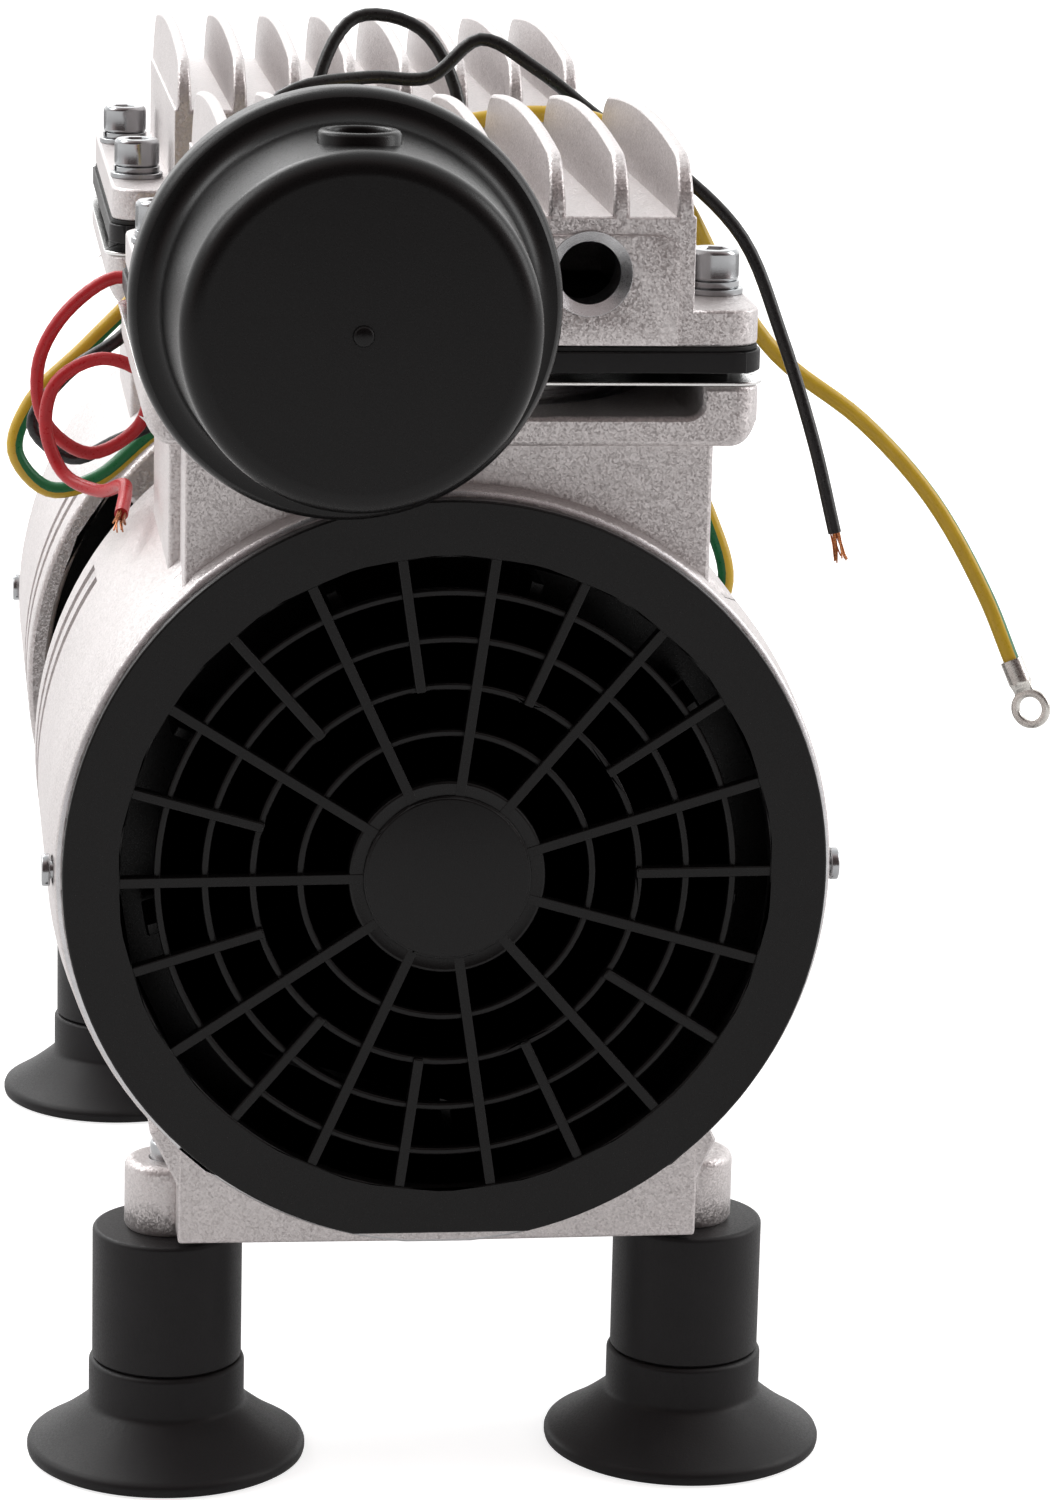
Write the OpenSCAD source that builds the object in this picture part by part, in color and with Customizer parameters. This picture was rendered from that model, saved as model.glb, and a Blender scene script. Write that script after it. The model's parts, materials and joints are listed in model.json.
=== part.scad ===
// Oil-free vacuum pump with two cylinders in line, driven by one motor between them.
// The front is -Y, the right side is +X, and the suction cups stand on z = 0.
// The rear half is the mirror image of the front half, apart from the ports.

/* [Layout] */
// Height of the shaft axis above the underside of the base
axis_above_base = 63.8; // [62:0.1:66]
// Distance between the two cylinders, front to back
cylinder_pitch = 144; // [142:0.5:147]
// Length over the end faces of the two housings
body_len = 234; // [232:0.5:240]
// Open space between the two housings, where the stator shows
gap_len = 52; // [48:0.5:54]
// Foot spacing from side to side
foot_pitch_x = 88.9; // [86:0.1:92]
// Foot spacing from front to back
foot_pitch_y = 203.2; // [198:0.1:206]

/* [Feet] */
// Height of a whole foot, from the floor to the base
foot_h = 41.5; // [36:0.1:50]
// Diameter of the rubber buffer
buffer_d = 25.3; // [22:0.1:28]
// Diameter of the cup's collar
collar_d = 26.4; // [24:0.1:29]
// Height of the cup's collar
collar_h = 7; // [5:0.1:9]
// Height of the flared skirt below the collar
skirt_h = 13; // [10:0.1:16]
// Diameter of the suction cup at the floor
cup_d = 47.3; // [42:0.1:52]
// Thickness of the cup's skirt
cup_wall = 2.2; // [1.6:0.1:2.6]
// Diameter of the foot stud
stud_d = 6; // [5:0.1:7]

/* [Housings] */
// Outer diameter of the round housing shell
shell_d = 130; // [128:0.5:134]
// Wall of the shell
shell_wall = 4; // [3:0.1:4.5]
// Width of the base block
base_w = 87; // [84:0.5:90]
// Diameter of a foot boss
boss_d = 14.4; // [12:0.1:16]
// Height of a foot boss
boss_h = 10.5; // [8:0.1:13]
// Width of the neck under the cylinder flange
neck_w = 88; // [86:0.5:90]
// Length of the neck, front to back
neck_len = 80; // [78:0.5:82]
// Width of the cylinder flange
deck_w = 104; // [102:0.5:108]
// Length of the cylinder flange, front to back
deck_len = 88; // [87:0.5:89]
// Thickness of the cylinder flange
deck_t = 10; // [9:0.1:12]
// Height of the flange's top above the shaft axis
deck_above_axis = 80.9; // [80:0.1:82]
// Width of the air window in the flange
window_w = 80.6; // [70:0.1:81]
// Depth of the air window below the flange's top
window_h = 5; // [4:0.1:6]

/* [Fan covers] */
// Outer diameter of the cover's ring
cover_d = 125.8; // [124:0.1:127]
// Diameter of the cover's opening
cover_open_d = 107; // [104:0.1:109]
// Thickness of the cover's ring
cover_t = 3; // [2.4:0.1:4]
// Diameter of the blank disc in the middle
cover_hub_d = 32.5; // [28:0.1:36]
// Number of long spokes, and of the short ones between them
spoke_count = 11; // [9:1:13]
// Turn of the first spoke from the top
spoke_turn = 7.5; // [0:0.5:16]
// Width of a spoke
spoke_w = 1.7; // [1.4:0.1:2.2]
// Width of a ring of the grille
grille_ring_w = 1.2; // [1:0.1:1.6]
// Spacing of the grille's rings
grille_ring_pitch = 7.8; // [7:0.1:8]

/* [Cylinders and heads] */
// Bore of the cylinder
bore_d = 60; // [59:0.1:61]
// Outer diameter of the cylinder sleeve
sleeve_d = 66; // [65.5:0.1:67]
// Number of fine cooling grooves on the sleeve
sleeve_grooves = 9; // [5:1:12]
// Width of the cylinder head's flange
head_w = 98.6; // [97:0.1:100]
// Length of the cylinder head, front to back
head_len = 94; // [92:0.5:96]
// Thickness of the head's flange
head_flange_t = 5; // [4:0.1:7]
// Width of the head's finned block
block_w = 76; // [74:0.5:78]
// Height of the head's block above its gasket face
block_h = 21; // [20:0.1:24]
// Number of cooling fins on a head
fin_count = 8; // [6:1:9]
// Height of the fins above the block
fin_h = 12; // [8:0.1:15]
// Thickness of a fin at its root
fin_root_t = 2.9; // [2.4:0.1:3.4]
// Thickness of a fin at its tip
fin_tip_t = 1.9; // [1.5:0.1:2.4]
// Spacing of the two ports from side to side
port_pitch = 42; // [40:0.1:43]
// Height of a port's axis above the gasket face
port_h = 11.8; // [11.2:0.1:12.4]
// Inner diameter of the port's thread
port_d = 11.2; // [10.8:0.1:11.4]
// Length of the port's thread
port_len = 12; // [10:0.1:13]
// Spacing of the head screws from side to side
screw_pitch_x = 89; // [88.4:0.1:90]
// Spacing of the head screws from front to back
screw_pitch_y = 54.6; // [52:0.1:57]
// Diameter of a head screw's thread
screw_d = 5; // [4.6:0.1:5.2]
// Diameter of a head screw's head
screw_head_d = 8.5; // [8:0.1:9]

/* [Silencer] */
// Diameter of the silencer's rim
rim_d = 66.4; // [64:0.1:68]
// Diameter of the silencer's front cup at its end
cup_front_d = 54; // [52:0.1:55]
// Diameter of the silencer's front cup at the rim
cup_root_d = 56.4; // [55.5:0.1:58]
// Distance from the port's face to the silencer's rim
rim_out = 38; // [36:0.5:42]
// Length of the silencer's front cup
cup_len = 27; // [24:0.1:30]
// Outer diameter of the silencer's nozzle
nozzle_d = 12.6; // [11.6:0.1:13]
// Bore of the silencer's nozzle
nozzle_bore_d = 9; // [8:0.1:9.6]

/* [Crank and pistons] */
// Throw of the eccentric, half of the piston's stroke
crank_throw = 6; // [5.6:0.1:6.1]
// Diameter of the shaft in its main bearings
shaft_d = 17; // [16.6:0.1:17.4]
// Diameter of the shaft at the eccentrics and fans
shaft_end_d = 12; // [11.6:0.1:12.4]
// Diameter of the eccentric inside the rod's bearing
eccentric_d = 26.8; // [26.6:0.1:27]
// Diameter over the fan's blades
fan_d = 100; // [94:0.5:101]
// Number of blades on a fan
fan_blades = 9; // [6:1:11]
// Width of the motor's laminated stack
stator_w = 96; // [94:0.5:97]
// Length of the motor's laminated stack
stator_len = 44; // [43:0.5:44.5]
// Diameter of the rotor's core
rotor_d = 52; // [51:0.1:52.4]

/* [Hidden] */
$fn = 72;

// Overrun that lets a cut pass clear through a face
over = 1;
// Radial clearance of a part that runs or slides in its seat
fit = 0.05;
// Free space round a part that must not touch
free = 0.3;

// Heights of the main levels
axis_z = foot_h + axis_above_base;
deck_z = axis_z + deck_above_axis;
sheet_t = 0.6;
plate_gap = 2;
plate_t = 3.4;
gasket_t = 0.8;
plate_z = deck_z + sheet_t + plate_gap;
head_z = plate_z + plate_t + gasket_t;
port_z = head_z + port_h;

// Distances from the middle of the pump along the shaft
bank = cylinder_pitch / 2;
mouth = body_len / 2;
inner_edge = gap_len / 2;

// Radii of the shell
shell_r = shell_d / 2;
shell_in_r = shell_r - shell_wall;
mouth_lip = 1;
mouth_taper_len = 14;

// Main bearings and the hubs that carry them
hub_r = 25;
hub_in = 38;
hub_out = 52;
bearing_w = 12;
bearing_r = 20;
race_t = 2.95;
inner_race_t = 2.8;
ball_r = 2.5;
ball_count = 9;
arm_w = 9;
post_w = 15;
post_in_r = 45;
arm_count = 4;
arm_turn = 45;

// Long bolts through both housings and the stator
bolt_d = 5;
bolt_circle_r = 49.5;
bolt_head_d = 8.5;
bolt_head_h = 5;
bolt_nut_d = 9.2;
bolt_nut_h = 4;
stator_corner_r = 54;

// Windings
winding_in_r = 30;
winding_out_r = 43;
winding_len = 14;
winding_round = 4;
rotor_gap = 0.6;
slot_count = 24;
slot_w = 2.6;
slot_depth = 14;

// Sleeve seat
sleeve_r = sleeve_d / 2;
bore_r = bore_d / 2;
pocket_gap = 3.2;
pocket_r = sleeve_r + pocket_gap;
ledge_z = axis_z + 56.7;
ledge_t = 3.2;
ledge_hole_r = bore_r + free * 2;
seat_lip_t = 1.6;
seat_lip_h = 3;
groove_w = 0.8;
groove_pitch = 1.6;
groove_depth = 0.6;
ring_gasket_t = 0.5;
sheet_margin = 0.8;

// Neck details
deck_round = 6;
deck_corner_r = 5;
window_corner_r = 2.5;
rib_w = 6;
rib_out = 2.6;
rib_share = [-0.42, 0, 0.42];
louvre_w = 4.5;
louvre_depth = 1.6;
louvre_h = 58;
louvre_rise = 6;
louvre_first = 9;
louvre_pitch = 10;

// Fan cover
cover_skirt_t = 2.4;
cover_skirt_len = 8;
cover_flat_up = 2.6;
spoke_sink = 0.4;
spoke_depth = 2.5;
grille_sink = 1.4;
grille_depth = 1.8;
grille_ring_count = 4;
hub_step = 0.7;
hub_step_in = 2.4;
hub_disc_t = 2.6;
cover_screw_d = 3;
cover_screw_head_d = 5.4;
cover_screw_head_t = 1.4;
cover_screw_len = 7;
cover_screw_in = 4.5;

// Valve plate, gasket and reeds
plate_w = head_w + 2.4;
plate_len = head_len + 1;
plate_corner_r = 6;
plate_boss_d = 11;
chamber_wall = 4;
chamber_mid_wall = 5;
chamber_h = 15;
chamber_x = block_w / 2 - chamber_wall;
chamber_len = head_len - 2 * port_len;
valve_hole_d = 5;
valve_hole_pitch = 8;
valve_x = 14;
reed_w = 15;
reed_blade = 24;
reed_t = 0.4;
reed_root = 6;
reed_slit = 0.1;
reed_pivot_in = 10;
reed_pivot_y = reed_pivot_in - bank;
reed_screw_d = 3;
reed_screw_head_d = 5.5;
reed_screw_head_t = 1.2;

// Head
screw_hole_d = 5.6;
socket_d = 4.6;
socket_depth = 2.6;
screw_head_h = 5;
flat_washer_t = 1;
flat_washer_d = 10;
lock_washer_t = 1.3;
lock_washer_d = 8.7;
lock_washer_slot = 0.9;
screw_in_deck = 9;
screw_x = screw_pitch_x / 2;
screw_y = screw_pitch_y / 2;
head_corner_r = 6;
fin_crown = 3.2;
fin_corner_r = 9;
fin_edge = 0.4;
fin_step = (block_w - fin_root_t - 2 * fin_edge) / (fin_count - 1);
chamfer = 1;
pad_w = 27;
pad_h = 17.5;
pad_t = 0.5;
pad_r = 4;

// Tubes that join the two heads
tube_d = 10;
tube_bore_d = 7;
tube_in = 9;
seal_t = 1.8;
seal_in = 3;

// Silencer
silencer_wall = 2;
rim_t = 7;
rim_lip = 0.8;
rim_fillet = 4;
cup_edge = 3.5;
bowl_gap = 6;
bowl_taper = 3;
nipple_hub_d = 18;
nipple_bore_d = 7;
nub_d = 3.2;
nub_h = 0.7;
nozzle_back = 14.5;
nozzle_up = 28.8;
foam_gap = 0.4;
foam_bore_d = 12;
nozzle_root_in = 4;

// Crank, rod and piston
crank_w = 12;
weight_t = 6;
weight_gap = 1.6;
weight_r = 30;
weight_hub_r = 13;
weight_in = bank - crank_w / 2 - weight_gap - weight_t;
weight_mid = weight_in + weight_t / 2;
rod_ring_w = 10;
inner_ring_t = 2.3;
roller_r = 1.8;
roller_circle_r = 24;
roller_count = 12;
cage_t = 1.2;
cage_w = 6;
outer_ring_t = 3;
rod_wall = 4;
rod_web_w = 16;
rod_web_t = 8;
crown_r = bore_r - 1.5;
crown_t = 5;
piston_clear = 2.6;
seal_disc_t = 1.2;
seal_lip_h = 2.8;
seal_lip_t = 0.8;
clamp_r = 26.5;
clamp_t = 2;
piston_screw_d = 6;
piston_screw_head_d = 11;
piston_screw_head_h = 1.6;
piston_screw_in = 8;
crown_z = plate_z - piston_clear;
clamp_z = crown_z - piston_screw_head_h;
seal_z = clamp_z - clamp_t - seal_disc_t;
crown_top_z = seal_z;
outer_ring_in_r = roller_circle_r + roller_r + free;
outer_ring_out_r = outer_ring_in_r + outer_ring_t;
rod_out_r = outer_ring_out_r + fit + rod_wall;

// Rotor and fans
rotor_len = 46;
end_ring_t = 3;
fan_hub_r = 12;
fan_in = 96;
fan_out = 111;
fan_plate_t = 2;
fan_blade_t = 2;
fan_blade_root_r = 10;
fan_blade_lean = 24;
fan_disc_share = 0.62;
shaft_tip = 113;
shaft_flat_h = 5;
shaft_flat_len = fan_out - fan_in;
set_screw_d = 4;
set_screw_len = 8;

// Feet
plug_d = 18;
plug_z = skirt_h + 1;
cup_edge_t = 1.4;
cup_hollow_h = 8.5;
cup_roof_d = 14;
stud_in = 14;
stud_up = 3;

// Leads: their thickness and the points that each one follows
earth_d = 3;
lead_d = 2.4;
crimp_d = 4.2;
crimp_len = 6;
eye_d = 7.4;
eye_hole_d = 4.3;
eye_t = 0.9;
eye_neck_w = 4;
terminal_turn = 90;
strand_d = 1.7;
strand_len = 5;
earth_route = [
    [42, -27, 116], [50, -24, 119], [57, -21, 125], [61, -20, 134], [58, -19, 145], [52, -17, 156],
    [38, -10, 165], [20, -4, 169], [-2, -1, 170], [-24, -1, 167], [-42, -3, 159], [-53, -4, 150],
    [-62, -4, 148], [-68, -4, 155], [-65, -3, 164], [-55, -2, 174], [-43, -2, 187], [-35, -3, 202],
    [-25, -8, 215], [-10, -15, 217], [8, -19, 217], [24, -20, 219], [37, -19, 217], [50, -17, 205],
    [59, -15, 190], [70, -14, 175], [86, -16, 163], [99, -18, 149], [109, -21, 132], [114, -24, 120]
];
black_route = [
    [-8, -27, 147], [-12, -24, 156], [-22, -19, 162], [-37, -15, 164], [-49, -13, 159], [-58, -11, 155],
    [-65, -11, 161], [-59, -10, 170], [-48, -10, 178], [-39, -10, 191], [-33, -13, 205], [-21, -14, 221],
    [-5, -9, 224], [6, -8, 224], [15, -9, 231], [25, -11, 226], [37, -13, 217], [51, -15, 208],
    [62, -20, 197], [69, -24, 180], [75, -28, 161], [79, -30, 145]
];
red_route = [
    [-18, -27, 144], [-25, -23, 155], [-33, -20, 167], [-40, -18, 180], [-49, -18, 189], [-58, -18, 184],
    [-64, -18, 174], [-63, -18, 163], [-55, -17, 157], [-46, -16, 162], [-45, -19, 171], [-53, -22, 175],
    [-61, -23, 171], [-63, -23, 163], [-60, -25, 155], [-54, -32, 153], [-50, -42, 156], [-50, -51, 156],
    [-51, -59, 154]
];
arch_route = [
    [7, 27, 147], [7, 23, 157], [1, 15, 172], [-7, 12, 188], [-12, 12, 205], [-12, 15, 221],
    [-5, 19, 232], [7, 19, 230], [14, 16, 217], [13, 13, 200], [11, 13, 180], [14, 21, 163], [16, 26, 147]
];

// Shapes used by many pieces

// A bar of round section along the shaft, between two distances from the middle
module drum(r, near, far) {
    translate([0, -near, axis_z]) rotate([90, 0, 0]) cylinder(r = r, h = far - near);
}

// A ring along the shaft, with a hole of radius r_in
module hoop(r_out, r_in, near, far) {
    difference() {
        drum(r_out, near, far);
        drum(r_in, near - over, far + over);
    }
}

// A plate with round corners, its middle at the origin
module slab(w, l, t, r) {
    linear_extrude(t) rounded_rect(w, l, r);
}

// A rectangle with round corners
module rounded_rect(w, l, r) {
    square([w - 2 * r, l], center = true);
    square([w, l - 2 * r], center = true);
    for (sx = [-1, 1]) for (sy = [-1, 1])
        translate([sx * (w / 2 - r), sy * (l / 2 - r)]) circle(r = r);
}

// A rectangle with its two lower corners round, its top edge on the X axis
module sagging_rect(w, h, r) {
    translate([-w / 2, r - h]) square([w, h - r]);
    translate([-w / 2 + r, -h]) square([w - 2 * r, h]);
    for (sx = [-1, 1]) translate([sx * (w / 2 - r), r - h]) circle(r = r);
}

// Copies its children at the four screws of the front bank
module at_head_screws() {
    for (sx = [-1, 1]) for (sy = [-1, 1]) translate([sx * screw_x, sy * screw_y - bank, 0]) children();
}

// Copies its children at the four feet
module at_feet() {
    for (sx = [-1, 1]) for (sy = [-1, 1])
        translate([sx * foot_pitch_x / 2, sy * foot_pitch_y / 2, 0]) children();
}

// Draws its children for the front bank and mirrored for the rear bank
module both_banks() {
    children();
    mirror([0, 1, 0]) children();
}

// A frame at a port of the front head, its Z axis pointing to the front
module at_port(side) {
    translate([side * port_pitch / 2, -bank - head_len / 2, port_z]) rotate([90, 0, 0]) children();
}

// Housings

module shell_outline() {
    polygon([
        [shell_in_r, inner_edge], [shell_r, inner_edge], [shell_r, mouth - mouth_taper_len],
        [shell_r - mouth_lip, mouth], [shell_in_r, mouth]
    ]);
}

module deck() {
    intersection() {
        translate([0, deck_len / 2 - bank, deck_z]) rotate([90, 0, 0]) linear_extrude(deck_len)
            sagging_rect(deck_w, deck_t, deck_round);
        translate([0, -bank, deck_z - deck_t]) slab(deck_w, deck_len, deck_t, deck_corner_r);
    }
}

module neck() {
    translate([-neck_w / 2, -bank - neck_len / 2, axis_z])
        cube([neck_w, neck_len, deck_above_axis - deck_t]);
    for (s = rib_share) translate([-neck_w / 2 - rib_out, s * neck_len - rib_w / 2 - bank, axis_z])
        cube([neck_w + 2 * rib_out, rib_w, deck_above_axis - deck_t]);
}

module louvres() {
    for (i = [0, 1]) intersection() {
        hoop(shell_r + over, shell_r - louvre_depth, inner_edge + louvre_first + i * louvre_pitch,
            inner_edge + louvre_first + i * louvre_pitch + louvre_w);
        translate([-shell_r - over, -mouth, axis_z - louvre_h / 2 + louvre_rise])
            cube([shell_d + 2 * over, mouth, louvre_h]);
    }
}

module base_block() {
    difference() {
        translate([-base_w / 2, -mouth + over, foot_h])
            cube([base_w, mouth - inner_edge - 2 * over, axis_above_base]);
        drum(shell_r - over, 0, mouth + over);
    }
    for (sx = [-1, 1]) translate([sx * foot_pitch_x / 2, -foot_pitch_y / 2, foot_h])
        cylinder(d = boss_d, h = boss_h);
}

module bearing_spider() {
    drum(hub_r, hub_in, hub_out);
    intersection() {
        translate([0, 0, axis_z]) for (a = [0 : arm_count - 1])
            rotate([0, arm_turn + a * 360 / arm_count, 0]) {
                translate([hub_r - over, -hub_out, -arm_w / 2])
                    cube([shell_r - hub_r, hub_out - hub_in, arm_w]);
                translate([post_in_r, -hub_out, -post_w / 2])
                    cube([shell_r - post_in_r, hub_out - stator_len / 2, post_w]);
            }
        drum(shell_in_r + over, 0, mouth);
    }
}

module sleeve_seat() {
    translate([0, -bank, ledge_z - ledge_t]) cylinder(r = pocket_r + over, h = ledge_t);
    translate([0, -bank, ledge_z - over]) cylinder(r = sleeve_r + fit + seat_lip_t, h = seat_lip_h + over);
}

module front_half_housing() {
    difference() {
        union() {
            difference() {
                union() {
                    translate([0, 0, axis_z]) rotate([90, 0, 0]) rotate_extrude() shell_outline();
                    neck();
                    deck();
                    base_block();
                }
                drum(shell_in_r, 0, mouth + over);
                translate([0, -bank, ledge_z]) cylinder(r = pocket_r, h = deck_z - ledge_z + over);
                translate([0, -bank, deck_z + over]) rotate([90, 0, 0]) linear_extrude(deck_len / 2 + over)
                    sagging_rect(window_w, window_h + over, window_corner_r);
                louvres();
            }
            bearing_spider();
            sleeve_seat();
        }
        translate([0, -bank, ledge_z]) cylinder(r = sleeve_r + fit, h = deck_z - ledge_z + over);
        translate([0, -bank, axis_z + hub_r]) cylinder(r = ledge_hole_r, h = deck_above_axis);
        drum(bearing_r + fit, hub_in - over, hub_out - over);
        drum(bearing_r - race_t, hub_in, hub_out + over);
        for (a = [0 : arm_count - 1]) translate([0, -inner_edge / 2, axis_z])
            rotate([0, arm_turn + a * 360 / arm_count, 0]) translate([bolt_circle_r, 0, 0])
                rotate([90, 0, 0]) cylinder(d = bolt_d + 2 * free, h = hub_out);
        at_head_screws() translate([0, 0, deck_z - screw_in_deck - over])
            cylinder(d = screw_d + 2 * fit, h = screw_in_deck + 2 * over);
        for (sx = [-1, 1]) translate([sx * foot_pitch_x / 2, -foot_pitch_y / 2, foot_h - over])
            cylinder(d = stud_d + 2 * fit, h = boss_h + stud_up + free + over);
        for (sx = [-1, 1]) translate([sx * shell_in_r, -mouth + cover_screw_in, axis_z]) rotate([0, 90, 0])
            cylinder(d = cover_screw_d + 2 * fit, h = 2 * shell_wall, center = true);
        translate([-shell_r, -mouth - over, 0]) cube([shell_d, mouth, foot_h]);
    }
}

module front_housing() {
    color("lightgray") front_half_housing();
}

module rear_housing() {
    color("lightgray") mirror([0, 1, 0]) front_half_housing();
}

// Motor

module stator_core() {
    color("dimgray") translate([0, stator_len / 2, axis_z]) rotate([90, 0, 0]) difference() {
        linear_extrude(stator_len) difference() {
            intersection() {
                circle(r = stator_corner_r);
                square(stator_w, center = true);
            }
            circle(r = rotor_d / 2 + rotor_gap);
            for (i = [0 : slot_count - 1]) rotate((i + 1 / 2) * 360 / slot_count)
                translate([rotor_d / 2 + rotor_gap + slot_w, -slot_w / 2]) square([slot_depth, slot_w]);
        }
        for (a = [0 : arm_count - 1]) rotate(arm_turn + a * 360 / arm_count)
            translate([bolt_circle_r, 0, -over]) cylinder(d = bolt_d + 2 * free, h = stator_len + 2 * over);
    }
}

module winding() {
    color("chocolate") translate([0, -stator_len / 2, axis_z]) rotate([90, 0, 0]) rotate_extrude()
        translate([(winding_in_r + winding_out_r) / 2, winding_len / 2])
            rounded_rect(winding_out_r - winding_in_r, winding_len, winding_round);
}

module front_winding() {
    winding();
}

module rear_winding() {
    mirror([0, 1, 0]) winding();
}

module stator_bolts() {
    color("silver") translate([0, 0, axis_z]) for (a = [0 : arm_count - 1])
        rotate([0, arm_turn + a * 360 / arm_count, 0]) translate([bolt_circle_r, hub_out, 0])
            rotate([90, 0, 0]) {
                translate([0, 0, -bolt_nut_h]) cylinder(d = bolt_d, h = 2 * hub_out + bolt_nut_h + over);
                translate([0, 0, 2 * hub_out]) cylinder(d = bolt_head_d, h = bolt_head_h);
                translate([0, 0, -bolt_nut_h]) cylinder(d = bolt_nut_d, h = bolt_nut_h, $fn = 6);
            }
}

module main_bearing() {
    hoop(bearing_r, bearing_r - race_t, hub_in, hub_in + bearing_w);
    mid = hub_in + bearing_w / 2;
    circle_r = bearing_r - race_t - ball_r - free / 2;
    hoop(circle_r + cage_t / 2, circle_r - cage_t / 2, mid - cage_t, mid + cage_t);
    translate([0, -mid, axis_z]) for (i = [0 : ball_count - 1])
        rotate([0, i * 360 / ball_count, 0]) translate([circle_r, 0, 0]) sphere(r = ball_r);
}

module main_bearings() {
    color("silver") both_banks() main_bearing();
}

// Fan covers

module spoke(from_r, to_r, depth) {
    translate([-spoke_w / 2, from_r, -spoke_sink - depth]) cube([spoke_w, to_r - from_r, depth]);
}

module fan_cover() {
    opening_r = cover_open_d / 2;
    hub_disc_r = cover_hub_d / 2;
    first_ring_r = hub_disc_r + grille_ring_pitch + grille_ring_w / 2;
    color([0.12, 0.12, 0.12]) intersection() {
        translate([0, -mouth - cover_t, axis_z]) rotate([90, 0, 0]) {
            difference() {
                translate([0, 0, -cover_t]) cylinder(d = cover_d, h = cover_t);
                translate([0, 0, -cover_t - over]) cylinder(r = opening_r, h = cover_t + 2 * over);
            }
            difference() {
                translate([0, 0, -cover_t - cover_skirt_len])
                    cylinder(r = shell_in_r - free, h = cover_skirt_len + cover_t / 2);
                translate([0, 0, -cover_t - cover_skirt_len - over])
                    cylinder(r = shell_in_r - free - cover_skirt_t, h = cover_skirt_len + cover_t + over);
            }
            translate([0, 0, -hub_disc_t - hub_step]) cylinder(r = hub_disc_r, h = hub_disc_t);
            translate([0, 0, -hub_disc_t]) cylinder(r = hub_disc_r - hub_step_in, h = hub_disc_t);
            for (i = [0 : grille_ring_count - 1]) difference() {
                ring_r = first_ring_r + i * grille_ring_pitch;
                translate([0, 0, -grille_sink - grille_depth]) cylinder(r = ring_r, h = grille_depth);
                translate([0, 0, -grille_sink - grille_depth - over])
                    cylinder(r = ring_r - grille_ring_w, h = grille_depth + 2 * over);
            }
            for (i = [0 : spoke_count - 1]) rotate(-spoke_turn - i * 360 / spoke_count) {
                spoke(hub_disc_r - hub_step_in - spoke_w, opening_r + over, spoke_depth);
                rotate(180 / spoke_count) spoke(first_ring_r + grille_ring_pitch - grille_ring_w,
                    opening_r + over, spoke_depth);
            }
        }
        translate([-shell_r, -mouth - 2 * cover_t, foot_h + cover_flat_up])
            cube([shell_d, mouth, shell_d]);
        difference() {
            drum(shell_r, 0, mouth + 2 * cover_t);
            for (sx = [-1, 1]) translate([sx * shell_in_r, -mouth + cover_screw_in, axis_z])
                rotate([0, 90, 0])
                    cylinder(d = cover_screw_d + 2 * free, h = cover_screw_len, center = true);
        }
    }
}

module front_fan_cover() {
    fan_cover();
}

module rear_fan_cover() {
    mirror([0, 1, 0]) fan_cover();
}

module fan_cover_screws() {
    screw_seat_r = shell_r - mouth_lip * (mouth_taper_len - cover_screw_in) / mouth_taper_len;
    color("silver") both_banks() for (sx = [-1, 1])
        translate([sx * screw_seat_r, -mouth + cover_screw_in, axis_z]) rotate([0, sx * 90, 0]) {
            translate([0, 0, -cover_screw_len]) cylinder(d = cover_screw_d, h = cover_screw_len + fit);
            translate([0, 0, free]) cylinder(d = cover_screw_head_d, h = cover_screw_head_t);
            cylinder(d = cover_screw_d, h = cover_screw_head_t);
        }
}

// Cylinders, plates and heads

module cylinder_sleeve() {
    sleeve_h = plate_z - ring_gasket_t - ledge_z;
    color("gainsboro") translate([0, -bank, ledge_z]) difference() {
        cylinder(r = sleeve_r, h = sleeve_h);
        translate([0, 0, -over]) cylinder(r = bore_r, h = sleeve_h + 2 * over);
        for (i = [1 : sleeve_grooves]) translate([0, 0, sleeve_h - i * groove_pitch]) difference() {
            cylinder(r = sleeve_r + over, h = groove_w);
            translate([0, 0, -over]) cylinder(r = sleeve_r - groove_depth, h = groove_w + 2 * over);
        }
    }
}

module front_cylinder() {
    cylinder_sleeve();
}

module rear_cylinder() {
    mirror([0, 1, 0]) cylinder_sleeve();
}

// The ring on top of each sleeve, and the rings round the tubes that join the heads
module seal_rings() {
    color("black") both_banks() {
        translate([0, -bank, plate_z - ring_gasket_t]) difference() {
            cylinder(r = sleeve_r - groove_depth, h = ring_gasket_t);
            translate([0, 0, -over]) cylinder(r = bore_r + free, h = ring_gasket_t + 2 * over);
        }
        for (side = [-1, 1]) translate([side * port_pitch / 2, head_len / 2 - bank - seal_in - fit, port_z])
            rotate([90, 0, 0]) difference() {
                cylinder(d = tube_d + 2 * seal_t, h = seal_t);
                translate([0, 0, -over]) cylinder(d = tube_d + 2 * fit, h = seal_t + 2 * over);
            }
    }
}

module deflector_sheets() {
    color("whitesmoke") both_banks() difference() {
        translate([0, -bank, deck_z]) slab(deck_w, deck_len, sheet_t, deck_corner_r);
        translate([0, -bank, deck_z - over]) cylinder(r = sleeve_r + sheet_margin, h = sheet_t + 2 * over);
        at_head_screws() translate([0, 0, deck_z - over]) cylinder(d = screw_hole_d, h = sheet_t + 2 * over);
    }
}

// The three holes under a reed, in a row from front to back
module valve_holes(x, h) {
    for (i = [-1, 0, 1]) translate([x, i * valve_hole_pitch - bank, 0]) cylinder(d = valve_hole_d, h = h);
}

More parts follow.
